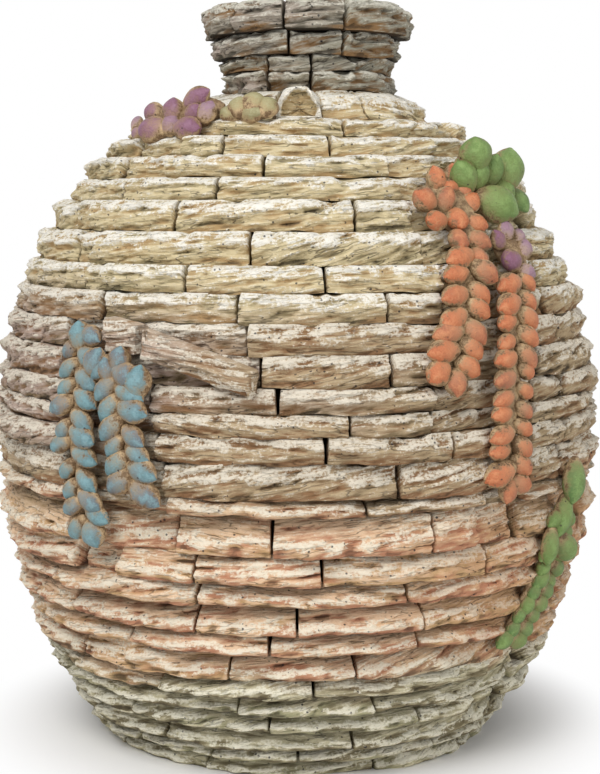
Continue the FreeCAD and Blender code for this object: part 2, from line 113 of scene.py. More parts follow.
# Mean and spread of the rise of a stone's grain along it, and range of the draw of its ends as shares of
# their rounding
GRAIN_RISE = (0.09, 0.09)
END_RETREAT = (0.6, 1.5)
# Place in the noises where the courses begin, in metres, and the step from one course to the next
NOISE_START = 50.0
NOISE_STEP = 1.7
# Steps from one stone and from one course to the next in the layers of the painted grain
STONE_LAYER = 0.37
COURSE_LAYER = 3.1

# Rows along a leaf, points round a leaf, a stem's web, a slab and the arched stone
LEAF_ROWS = 15
LEAF_TURNS = 20
STEM_TURNS = 12
SLAB_TURNS = 64
ARCH_TURNS = 96
# Bend of a leaf's axis at its tip as a share of its length, pull of its facing towards the front, and rise
# off the wall of a shaded leaf as a share of its half width
LEAF_CURL = 0.06
LEAF_FORWARD = 0.8
SHADED_RISE = 0.15
# Leaves down a stem: swing either way in degrees, range of growth, growth of the last pair, most lean out of
# the wall, and place of a leaf's middle off the stem as a share of its length
LEAF_SWING = 12.0
LEAF_GROWTH = (0.85, 1.10)
LAST_GROWTH = 1.12
MOST_LEAN = 0.25
LEAF_REACH = 0.37
# Share of the brown paint that a bed takes, grime and painted shade between the leaves
BED_BROWN = 0.7
# Number that keeps a division from being by 0
SLIVER = 1e-12

# Large odd numbers and shifts that scramble a lattice point's place and seed
COLUMN_FACTOR = np.uint32(374761393)
ROW_FACTOR = np.uint32(668265263)
SEED_FACTOR = np.uint32(40503)
MIXING = ((np.uint32(13), np.uint32(1274126177)), (np.uint32(15), np.uint32(2654435769)))
LAST_SHIFT = np.uint32(16)

# Loose slabs, in metres: distance of the first section from an end, draw of the end sections, pitch of the
# chips along the slab, and pitches along and across of the scratches in the dry-brushing
SLAB_INSET = 0.0008
SLAB_END_DRAW = 0.0012
SLAB_CHIP_PITCH = 0.014
SCRATCH_PITCH = (0.005, 0.002)

# Single leaves, in millimetres and degrees: sideways place and height of the middle as the front shows
# them, turn anticlockwise from the right, share of lean out of the wall, length, half width and share of
# shading
CLUSTERS = {
    "green_rosette": ((86, 315, 110, 0.3, 20, 9.2, 0.2), (103, 308, 75, 0.2, 25, 10.0, 0.5),
                      (81, 304, 130, 0.3, 20, 7.6, 0.1), (88, 305, 95, 0.5, 19, 6.8, 0.3),
                      (95, 307, 85, 0.6, 20, 7.0, 0.7), (102, 297, 15, 0.4, 18, 7.2, 0.2),
                      (96, 291, -45, 0.4, 26, 10.2, 0.1), (111, 293, -75, 0.2, 17, 6.0, 0.9)),
    "orange_crown": ((68, 303, 100, 0.5, 15, 5.4, 0.2), (77, 304, 85, 0.5, 16, 5.4, 0.1),
                     (61, 293, 160, 0.5, 16, 6.3, 0.6), (71, 293, 60, 0.8, 15, 5.6, 0.9),
                     (84, 291, 40, 0.6, 15, 5.5, 0.2), (67, 283, 190, 0.4, 16, 5.4, 0.3),
                     (77, 284, 250, 0.5, 16, 6.0, 0.1), (86, 281, -20, 0.4, 15, 5.6, 0.4),
                     (77, 274, 250, 0.5, 15, 5.6, 0.7), (87, 273, -40, 0.4, 15, 5.5, 0.8),
                     (87, 265, -90, 0.4, 14, 5.0, 0.9), (75, 299, 200, 0.3, 12, 4.6, 0.5),
                     (81, 297, 300, 0.2, 12, 4.6, 0.7)),
    "purple_buds": ((99, 273, 120, 0.4, 12, 4.4, 0.2), (105, 263, 180, 0.3, 16, 6.0, 0.0),
                    (112, 268, 60, 0.4, 12.5, 5.0, 1.0), (112, 257, -30, 0.4, 13, 4.8, 1.1),
                    (103, 277, 90, 0.4, 13, 4.6, 1.2), (110, 274, 60, 0.3, 11, 4.2, 1.1)),
    "purple_rosette": ((-71, 338, 172, 0.1, 17, 5.8, 0.1), (-60, 338, 95, 0.3, 15, 6.4, 0.4),
                       (-49, 344, 28, 0.1, 19, 5.8, 0.0), (-70, 329, 186, 0.2, 23, 7.6, 0.0),
                       (-53, 329, -8, 0.2, 20, 6.8, 0.1), (-50, 337, 20, 0.3, 14, 5.2, 0.5),
                       (-43, 337, 70, 0.1, 13, 5.4, 1.0), (-82, 333, 115, 0.1, 11, 3.6, 1.2),
                       (-81, 328, 200, 0.1, 10, 3.6, 0.6), (-61, 331, 80, 0.4, 13, 5.6, 0.9)),
    "olive_boss": ((-27, 339, 105, 0.1, 15, 6.4, 0.2), (-20, 341, 80, 0.1, 15, 7.0, 0.5),
                   (-14, 339, 60, 0.1, 14, 6.0, 0.1), (-33, 336, 150, 0.1, 11, 4.4, 0.6),
                   (-22, 336, 0, 0.3, 16, 5.4, 0.8), (-30, 336, 20, 0.2, 11, 4.6, 0.4)),
}
# Beds that the leaves stand in: place, turn, lean, length and half width as for the leaves, then the
# thickness and the rise off the wall as shares of the half width, and the share of brown paint, which is
# grime and painted shade between the leaves
BEDS = {
    "green_rosette": ((98, 302, 100, 0.0, 34, 13.0, 0.80, -0.60, 0.0),),
    "orange_crown": ((77, 288, 105, 0.0, 44, 10.5, 0.34, 0.1, 1.0),),
    "purple_buds": ((107, 266, 120, 0.0, 26, 7.5, 0.34, 0.1, 1.0),),
    "purple_rosette": ((-66, 334, 8, 0.0, 36, 8.5, 0.60, 0.0, 1.0),
                       (-50, 336, 20, 0.0, 32, 8.0, 0.60, 0.0, 1.0)),
    "olive_boss": ((-23, 338, 0, 0.0, 30, 5.6, 0.34, 0.1, 1.0),),
}
# Radius that a cluster stands on, where that is not the wall's, in millimetres
STANDS = {"purple_rosette": 88.0, "green_rosette": 122.0}
# Low stone behind the boss: the bearings of its ends in degrees, and the height, face radius and back
# radius of each of its levels in millimetres
BACKING_BEARINGS = (-28.6, -10.5)
BACKING_LEVELS = ((334.0, 79.0, 38.5), (342.0, 66.0, 38.5), (350.0, 46.0, 38.5))
# Loose slabs: growth along, out of and up the wall, widening towards the lower end, shift in millimetres
SLABS = {
    "slipped_slab": ((1.10, 1.05, 1.25), 0.50, (5.5, 1.0, -2.1)),
    "broken_shard": ((1.10, 1.10, 1.60), 0.20, (6.0, 1.0, 0.6)),
}
# Hanging stems, in millimetres and degrees: places that the stem runs through, leaves down each side, side
# of the lower leaf of a pair (-1 left, 1 right), length, half width and angle off the stem of the left and
# the right leaves, half width of the web behind them, and single leaves as above but without the shading
STEMS = {
    "blue_spray_outer": (
        ((-103, 231), (-108, 178), (-99, 134)), 10, -1, (16.5, 5.0, 52), (17.5, 5.4, 60), 5.0,
        ((-102, 227, 100, 0.3, 16, 6.6), (-94, 215, 60, 0.3, 17, 6.6), (-96, 132, -60, 0.3, 16, 6.6))),
    "blue_spray_inner": (
        ((-86, 219), (-81, 184), (-75, 155)), 7, 1, (17.0, 5.2, 48), (18.5, 5.8, 66), 5.0,
        ((-82, 217, 80, 0.3, 14, 6.0), (-73, 207, 75, 0.3, 18, 7.2), (-88, 212, 110, 0.3, 14, 5.6))),
    "orange_spray_inner": (
        ((85, 268), (80, 240), (74, 214)), 6, 1, (20.0, 6.0, 72), (16.5, 5.8, 46), 7.0,
        ((74, 207, 262, 0.3, 15, 6.0), (66, 212, 215, 0.3, 16, 6.4))),
    "orange_spray_outer": (
        ((109, 258), (105.5, 208), (102.5, 160)), 11, -1, (17.5, 5.6, 76), (15.5, 5.1, 50), 6.0,
        ((101, 153, 250, 0.3, 15, 5.2), (107, 155, -15, 0.3, 15, 5.4))),
    "green_trailer": (
        ((133, 136), (127, 108), (116, 88), (104, 69)), 11, 1, (13.0, 4.4, 46), (14.0, 5.2, 56), 5.5,
        ((138, 151, 248, 0.2, 26, 6.8), (134, 116, -40, 0.3, 23, 7.0), (126, 119, 262, 0.2, 22, 5.2),
         (133, 134, 240, 0.2, 26, 5.8))),
}
# Sections of the arched stone, from its back along its side, over the rim and into the panel: outline as a
# share of the whole, and place as a share of the depth from the front
ARCH_SIDE = np.linspace(1.0, 0.1, 16)
ARCH_OUTLINES = np.array([0.3, *np.ones_like(ARCH_SIDE),
                          0.98, 0.93, 0.86, 0.81, 0.77, 0.73, 0.5, 0.3, 0.1])[:, None]
ARCH_DEPTHS = np.array([1.0, *ARCH_SIDE,
                        0.02, -0.03, -0.03, 0.0, 0.07, 0.10, 0.09, 0.08, 0.08])[:, None]
# Power that squares the arch's outline, and relief of its stone in metres
ARCH_POWER = 0.86
ARCH_RELIEF = 0.0009
# Lamps: place and side in metres, and power in watts; they face a point on the vase's axis
LAMPS = {
    "key": ((-0.55, -1.15, 1.45), 1.0, 22.0),
    "fill": ((1.2, -1.3, 0.7), 1.3, 8.0),
}
LAMP_AIM = np.array((0.0, 0.0, 0.2))


def length(name, description, default):
    """A length property in metres."""
    return bpy.props.FloatProperty(name=name, description=description, default=default, unit="LENGTH")


def share(name, description, default):
    """A property that is a plain share or factor."""
    return bpy.props.FloatProperty(name=name, description=description, default=default, subtype="FACTOR")


def between(name, description, low, high):
    """A pair of places in metres that a change runs between."""
    return bpy.props.FloatVectorProperty(name=name, description=description, default=(low, high),
                                         size=2, unit="LENGTH")


def colour(name, description, red, green, blue):
    """A colour property, written as the 0 to 255 values that a screen shows."""
    shown = (red / 255.0, green / 255.0, blue / 255.0)
    return bpy.props.FloatVectorProperty(name=name, description=description, default=shown,
                                         size=3, min=0.0, max=1.0, subtype="COLOR_GAMMA")


class VASE_PG_stone(bpy.types.PropertyGroup):
    """Sizes of the split faces."""
    column: length("Column", "Spacing of the surface's columns along a stone", 0.0015)
    row: length("Row", "Spacing of the surface's rows up a face", 0.0010)
    plate_length: length("Plate length", "Length of the plates that split off a face", 0.042)
    plate_height: length("Plate height", "Height of the plates that split off a face", 0.0056)
    plate_depth: length("Plate depth", "Relief of the plates", 0.00168)
    flake_length: length("Flake length", "Length of the smaller flakes", 0.0126)
    flake_height: length("Flake height", "Height of the smaller flakes", 0.002352)
    flake_depth: length("Flake depth", "Relief of the smaller flakes", 0.0014)
    bedding_length: length("Bedding length", "Length of the waves in the bedding lines", 0.009)
    bedding_height: length("Bedding height", "Height from one bedding line to the next", 0.0013)
    bedding_depth: length("Bedding depth", "Relief of the bedding lines", 0.0004)
    edge_chip: length("Edge chip", "Deepest chip out of a top edge", 0.0026)
    edge_wave: length("Edge wave", "Waves in a top edge", 0.0006)
    nose_ripple: length("Nose ripple", "Ripple along the nose of a stone", 0.0014)
    ledge_grit: length("Ledge grit", "Roughness of the ledges", 0.0004)
    bed_lift: length("Bed lift", "Most that an underside stands off its bed", 0.0010)
    end_round: length("End round", "How far the rounding of an end runs along the stone", 0.0010)
    end_slant: length("End slant", "Most that an end leans away from its neighbour", 0.0010)
    end_spare: length("End spare", "How far an end reaches into the joint", 0.0004)
    undercut_fill: share("Undercut fill", "Share of the undercut that the split face fills", 0.62)
    belly_height: length("Belly height", "Height round which the undercuts are deepest", 0.190)
    belly_spread: length("Belly spread", "How far above and below that height they stay deep", 0.045)
    ledge_recess: length("Ledge recess", "How far the ledges of the lowest courses slope back", 0.0066)
    neck_draw: length("Neck draw", "How far the waist of the neck is drawn in", 0.0042)
    waist_foot: between("Waist foot", "Heights between which the waist of the neck begins", 0.350, 0.354)
    waist_head: between("Waist head", "Heights between which the waist of the neck ends", 0.364, 0.386)
    open_ledges: between("Open ledges", "Heights above which ledges lie in the open", 0.322, 0.334)
    slope_top: length("Slope top", "Height below which ledges begin to slope", 0.185)
    slope_full: length("Slope full", "Height below which ledges slope fully", 0.140)


class VASE_PG_paint(bpy.types.PropertyGroup):
    """Colours of the painted stones, and the places where they change."""
    # The colours change with height as the paint's bands do. The sand colours of the upper courses are also
    # lighter, as painted light from above, and the belly colours darker, as painted shade of the deep
    # undercuts round the belly.
    sand_face: colour("Sand face", "Split faces of the upper courses", 216, 200, 161)
    sand_edge: colour("Sand edge", "Dry-brushed edges of the upper courses", 242, 238, 228)
    # The recess colours are washes in the hollows, and also painted shade at the foot of each face
    sand_recess: colour("Sand recess", "Orange wash in the hollows of the upper courses", 178, 149, 106)
    sand_shade: colour("Sand shade", "Olive wash on the faces of the upper courses", 148, 136, 102)
    belly_face: colour("Belly face", "Split faces round the belly", 183, 161, 128)
    belly_edge: colour("Belly edge", "Dry-brushed edges round the belly", 226, 217, 200)
    belly_recess: colour("Belly recess", "Brown wash in the hollows round the belly", 140, 106, 75)
    belly_shade: colour("Belly shade", "Olive-brown wash on the faces round the belly", 130, 112, 84)
    # The mauve patches are the paint's own tint, and painted cool shade towards the left side
    mauve_face: colour("Mauve face", "Tinted patches round the belly", 188, 166, 158)
    salmon_face: colour("Salmon face", "Split faces of the middle courses", 230, 197, 163)
    # The ochre faces are a warmer wash, and painted shade on the right side
    ochre_face: colour("Ochre face", "Warmer faces of the middle courses at the right", 204, 160, 118)
    salmon_edge: colour("Salmon edge", "Dry-brushed edges of the middle courses", 238, 227, 206)
    salmon_recess: colour("Salmon recess", "Red wash in the hollows of the middle courses", 186, 132, 102)
    salmon_shade: colour("Salmon shade", "Tan wash on the faces of the middle courses", 196, 160, 115)
    moss_face: colour("Moss face", "Split faces of the lowest courses", 208, 199, 166)
    moss_edge: colour("Moss edge", "Dry-brushed edges of the lowest courses", 236, 231, 211)
    moss_recess: colour("Moss recess", "Wash in the hollows of the lowest courses", 132, 121, 93)
    moss_shade: colour("Moss shade", "Green wash on the faces of the lowest courses", 158, 154, 120)
    grey_face: colour("Grey face", "Split faces of the neck", 166, 162, 146)
    grey_edge: colour("Grey edge", "Dry-brushed edges of the neck", 208, 204, 190)
    grey_recess: colour("Grey recess", "Wash in the hollows of the neck", 134, 104, 70)
    grey_shade: colour("Grey shade", "Dark wash on the faces of the neck", 114, 108, 95)
    salmon_start: between("Salmon start", "Heights between which moss turns to salmon", 0.048, 0.068)
    belly_start: between("Belly start", "Heights between which salmon turns to belly brown", 0.128, 0.156)
    sand_start: between("Sand start", "Heights between which belly brown turns to sand", 0.222, 0.262)
    grey_start: between("Grey start", "Heights between which sand turns to the neck's grey", 0.346, 0.352)
    mauve_start: between("Mauve start", "Heights between which the mauve patches begin", 0.150, 0.185)
    ochre_side: between("Ochre side", "Places to the right between which the ochre begins", 0.030, 0.105)
    # The joint colour darkens the cracks, and is also painted shade at the foot of each face, on beds, on
    # covered ledges and deep behind the noses
    joint: colour("Joint", "Dark wash in the joints", 46, 36, 27)
    fleck: colour("Fleck", "Dark flecks spattered on the stones", 44, 40, 44)
    shell: colour("Shell", "The cast shell behind the joints and in the mouth", 82, 66, 50)


class VASE_PG_leaf(bpy.types.PropertyGroup):
    """Sizes and colours of the succulents."""
    stem_depth: length("Stem depth", "Half the depth of a stem's web", 0.0024)
    bare_rim: share("Bare rim", "Share of a leaf's flank that keeps the tan paint", 0.58)
    green_rim: share("Green rim", "The same share of a green leaf", 0.26)
    wear: share("Wear", "How far the paint has worn off towards the foot of a leaf", 0.65)
    green_wear: share("Green wear", "The same wear of a green leaf", 0.30)
    # The light colours are painted highlights on the crests, with lighter paint towards the tips
    blue: colour("Blue", "Crests of the blue leaves", 92, 128, 136)
    blue_light: colour("Light blue", "Brushed highlights of the blue leaves", 136, 172, 178)
    blue_shade: colour("Blue shade", "Purple-grey shading on some blue leaves", 98, 94, 102)
    orange: colour("Orange", "Crests of the orange leaves", 182, 98, 60)
    orange_light: colour("Light orange", "Brushed highlights of the orange leaves", 214, 148, 104)
    orange_shade: colour("Orange shade", "Dark red on some orange leaves", 150, 88, 66)
    green: colour("Green", "Crests of the green leaves", 101, 129, 66)
    green_light: colour("Light green", "Brushed highlights of the green leaves", 142, 166, 101)
    green_shade: colour("Green shade", "Darker green on some leaves", 80, 116, 62)
    purple: colour("Purple", "Crests of the purple leaves", 120, 76, 99)
    purple_light: colour("Light purple", "Brushed highlights of the purple leaves", 154, 116, 135)
    purple_shade: colour("Purple shade", "Pale lilac on some leaves", 158, 134, 144)
    olive: colour("Olive", "Crest of the olive boss", 146, 140, 98)
    olive_light: colour("Light olive", "Brushed highlights of the olive boss", 184, 178, 140)
    olive_shade: colour("Olive shade", "Darker olive patches", 116, 110, 74)
    seam: colour("Seam", "Tan paint in the seams between leaves", 202, 174, 134)
    # This brown is grime and painted shade: in the seams, in patches over the leaves and on the beds
    dirt: colour("Dirt", "Brown wash in the seams between leaves", 112, 87, 60)
    pit: colour("Pit", "Dark pits in the leaves", 58, 44, 38)


class VASE_PG_stage(bpy.types.PropertyGroup):
    """The floor, light and camera."""
    floor: colour("Floor", "The pale floor", 246, 245, 243)
    floor_side: length("Floor side", "Half the side of the floor", 3.0)
    floor_fade: between("Floor fade", "Distances between which the floor turns to white", 0.105, 0.190)
    soft_light: share("Soft light", "Strength of the light from all round", 0.42)
    camera_distance: length("Camera distance", "Camera in front of the vase's axis", 0.933)
    camera_height: length("Camera height", "Camera above the floor", 0.293)
    camera_side: length("Camera side", "Camera to the right of the vase's axis", 0.002)
    camera_pitch: bpy.props.FloatProperty(name="Camera pitch", description="Tilt of the camera below level",
                                          default=0.1120, subtype="ANGLE")
    camera_lens: bpy.props.FloatProperty(name="Lens", description="Focal length on a 36 mm sensor",
                                         default=77.4, unit="CAMERA")


class VASE_PG_looks(bpy.types.PropertyGroup):
    """All the settings of the vase."""
    stone: bpy.props.PointerProperty(type=VASE_PG_stone)
    paint: bpy.props.PointerProperty(type=VASE_PG_paint)
    leaf: bpy.props.PointerProperty(type=VASE_PG_leaf)
    stage: bpy.props.PointerProperty(type=VASE_PG_stage)


def lattice(column, row, seed):
    """Repeatable number from 0 to 1 at each lattice point: whole numbers multiplied, folded and mixed."""
    mixed = column.astype(np.uint32) * COLUMN_FACTOR
    mixed = mixed + row.astype(np.uint32) * ROW_FACTOR
    mixed = mixed + np.uint32(seed % 65536) * SEED_FACTOR
    for shift, factor in MIXING:
        mixed = (mixed ^ (mixed >> shift)) * factor
    return (mixed ^ (mixed >> LAST_SHIFT)) / float(np.iinfo(np.uint32).max)


def ease(part):
    """The fifth-degree curve from 0 to 1 that is level at both ends."""
    return part ** 3 * (part * (part * 6.0 - 15.0) + 10.0)


def value_noise(across, up, seed):
    """Smooth noise from -1 to 1: lattice numbers blended by the ease curve both ways."""
    column = np.floor(across).astype(np.int64)
    row = np.floor(up).astype(np.int64)
    right = ease(across - column)
    over = ease(up - row)
    low, high = (lattice(column, line, seed) * (1.0 - right) + lattice(column + 1, line, seed) * right
                 for line in (row, row + 1))
    return 2.0 * (low * (1.0 - over) + high * over) - 1.0


def layered_noise(across, up, layers, seed):
    """Layers of value noise, each at half the pitch and half the height of the one before."""
    total = np.zeros(np.broadcast(across, up).shape)
    for layer in range(layers):
        total += value_noise(across * 2.0 ** layer, up * 2.0 ** layer, seed + 17 * layer) * 0.5 ** layer
    return total


def terrace(height, steps, sharpness):
    """Turns a smooth height into plates: flat treads with a rise of limited width between them."""
    scaled = height * steps
    tread = np.floor(scaled)
    rise = np.clip((scaled - tread - 0.5) * sharpness + 0.5, 0.0, 1.0)
    return (tread + rise) / steps


def smooth_step(value, low, high):
    """0 below low, 1 above high and a smooth cubic between."""
    part = np.clip((value - low) / (high - low), 0.0, 1.0)
    return part * part * (3.0 - 2.0 * part)


def box_blur(grid, columns, rows):
    """Mean over a window of columns and rows about each place, with the edges repeated."""
    for axis, reach in ((0, columns), (1, rows)):
        pads = [(0, 0), (0, 0)]
        pads[axis] = (reach + 1, reach)
        total = np.cumsum(np.pad(grid, pads, mode="edge"), axis=axis)
        window = 2 * reach + 1
        size = grid.shape[axis]
        grid = (np.take(total, range(window, window + size), axis=axis)
                - np.take(total, range(size), axis=axis)) / window
    return grid


def polar(radius, bearing, height):
    """Points from radius, bearing (0 at the front, positive to the right) and height."""
    return np.stack([radius * np.sin(bearing), -radius * np.cos(bearing), height], axis=-1)


def cad_mesh(node):
    """Points of a CAD node with those at one place joined, and the point numbers of its triangles."""
    mesh = frame["nodes"][node].data
    points = np.empty(3 * len(mesh.vertices))
    mesh.vertices.foreach_get("co", points)
    mesh.calc_loop_triangles()
    corners = np.empty(3 * len(mesh.loop_triangles), dtype=np.int64)
    mesh.loop_triangles.foreach_get("vertices", corners)
    points, number = np.unique(np.round(points.reshape(-1, 3), 5), axis=0, return_inverse=True)
    return points, number.reshape(-1)[corners].reshape(-1, 3)


def cad_solids(node):
    """Points of each solid of a CAD node.

    The points of a triangle take the lowest number among them until none changes.
    """
    points, corners = cad_mesh(node)
    label = np.arange(len(points))
    settled = False
    while not settled:
        lowest = label[corners].min(axis=1)
        merged = label.copy()
        np.minimum.at(merged, corners.reshape(-1), np.repeat(lowest, 3))
        merged = merged[merged]
        settled = np.array_equal(merged, label)
        label = merged
    return [points[label == value] for value in np.unique(label)]


def section_radii(starts, ends, turns):
    """Radii of a convex section at given turns about its middle, and that middle.

    The section is where the edges from starts to ends cross the plane at 0 of their first coordinate.
    The chords between its corners cut a ray at each turn.
    """
    crossing = starts[:, 0] * ends[:, 0] < 0.0
    low = starts[crossing]
    high = ends[crossing]
    part = low[:, :1] / (low[:, :1] - high[:, :1])
    found = (low + (high - low) * part)[:, 1:]
    middle = 0.5 * (found.min(axis=0) + found.max(axis=0))
    found = found - middle
    found = found[np.argsort(np.arctan2(found[:, 1], found[:, 0]))]
    angles = np.arctan2(found[:, 1], found[:, 0])
    after = np.searchsorted(angles, turns) % len(found)
    first = found[after - 1]
    second = found[after]
    chord = second - first
    cross = first[:, 0] * second[:, 1] - first[:, 1] * second[:, 0]
    return cross / (np.cos(turns) * chord[:, 1] - np.sin(turns) * chord[:, 0] + SLIVER), middle


class Stone:
    """One stone of a course as the CAD node has it: bearings, three levels, face radii and backs."""

    def __init__(self, points):
        radius = np.hypot(points[:, 0], points[:, 1])
        bearing = np.arctan2(points[:, 0], -points[:, 1])
        middle = math.atan2(points[:, 0].mean(), -points[:, 1].mean())
        bearing = middle + (bearing - middle + math.pi) % (2.0 * math.pi) - math.pi
        heights, counts = np.unique(np.round(points[:, 2], 4), return_counts=True)
        nose = heights[1:-1][np.argmax(counts[1:-1])]
        self.levels = (heights[0], nose, heights[-1])
        self.bearings = []
        self.faces = []
        self.backs = []
        for level in self.levels:
            there = np.abs(points[:, 2] - level) < LEVEL_SLACK
            back = radius[there].min()
            face = there & (radius > back + FACE_DEPTH)
            order = np.argsort(bearing[face])
            self.bearings.append(bearing[face][order])
            self.faces.append(radius[face][order])
            self.backs.append(back)
        self.start = bearing.min()
        self.end = bearing.max()

    def face_at(self, level, bearing):
        """Radius of the face at a level, straight between the CAD corners."""
        return np.interp(bearing, self.bearings[level], self.faces[level])


def add_object(name, data):
    """A new object in the scene that shows some data."""
    made = bpy.data.objects.new(name, data)
    bpy.context.scene.collection.objects.link(made)
    return made


class Pieces:
    """Grids gathered into one mesh: points, quads, triangles and the paint values of each point."""

    def __init__(self):
        self.points = []
        self.paint = []
        self.split = []
        self.quads = []
        self.triangles = []
        self.count = 0

    def _numbers(self, shape):
        numbers = self.count + np.arange(shape[0] * shape[1]).reshape(shape[0], shape[1])
        self.count += numbers.size
        return numbers

    def _pole(self, point, paint, split):
        self.points.append(np.reshape(point, (1, 3)))
        self.paint.append(np.reshape(paint, (1, 4)))
        self.split.append(np.reshape(split, (1, 3)))
        self.count += 1
        return self.count - 1

    def tube(self, points, paint, split):
        """A grid whose rows close round on themselves, with a pole at the middle of each end row."""
        numbers = self._numbers(points.shape)
        self.points.append(points.reshape(-1, 3))
        self.paint.append(paint.reshape(-1, 4))
        self.split.append(split.reshape(-1, 3))
        after = np.roll(numbers, -1, axis=1)
        corners = (numbers[:-1], numbers[1:], after[1:], after[:-1])
        self.quads.append(np.stack(corners, axis=-1).reshape(-1, 4))
        for row, first, second in ((0, numbers[0], after[0]), (-1, after[-1], numbers[-1])):
            pole = self._pole(*(values[row].mean(axis=0) for values in (points, paint, split)))
            pole = np.full(points.shape[1], pole)
            self.triangles.append(np.stack([first, second, pole], axis=-1))

    def make(self, name, sharp_angle):
        """Writes the gathered grids into a mesh object at the origin."""
        points = np.concatenate(self.points)
        quads = np.concatenate(self.quads)
        triangles = np.concatenate(self.triangles)
        mesh = bpy.data.meshes.new(name)
        mesh.vertices.add(len(points))
        mesh.vertices.foreach_set("co", points.astype(np.float32).reshape(-1))
        mesh.loops.add(quads.size + triangles.size)
        mesh.loops.foreach_set("vertex_index", np.concatenate([quads.reshape(-1), triangles.reshape(-1)]))
        starts = np.concatenate([4 * np.arange(len(quads)), quads.size + 3 * np.arange(len(triangles))])
        mesh.polygons.add(len(starts))
        mesh.polygons.foreach_set("loop_start", starts)
        mesh.polygons.foreach_set("use_smooth", np.ones(len(starts), dtype=bool))
        mesh.update(calc_edges=True)
        mesh.set_sharp_from_angle(angle=sharp_angle)
        paint = mesh.attributes.new("paint", "FLOAT_COLOR", "POINT")
        paint.data.foreach_set("color", np.concatenate(self.paint).astype(np.float32).reshape(-1))
        split = mesh.attributes.new("split", "FLOAT_VECTOR", "POINT")
        split.data.foreach_set("vector", np.concatenate(self.split).astype(np.float32).reshape(-1))
        return add_object(name, mesh)


def columns_along(size, spacing, ends):
    """Places along a stone: even spacing with closer ones over the rounding of each end."""
    close = ends * END_COLUMNS
    count = max(3, int(round((size - 2.0 * ends) / spacing)))
    middle = np.linspace(ends, size - ends, count)
    return np.concatenate([close[:-1], middle, size - close[-2::-1]])


def split_relief(along, slanted, look, seed):
    """Relief of a split face: plates in crisp steps along the bedding, smaller flakes and bedding lines."""
    plates = layered_noise(along / look.plate_length, slanted / look.plate_height, 2, seed)
    plates = terrace(plates, 2.4, 6.0)
    flakes = layered_noise(along / look.flake_length, slanted / look.flake_height, 2, seed + 101)
    flakes = terrace(flakes, 2.2, 4.0)
    bedding = layered_noise(along / look.bedding_length, slanted / look.bedding_height, 2, seed + 202)
    return look.plate_depth * plates + look.flake_depth * flakes + look.bedding_depth * bedding


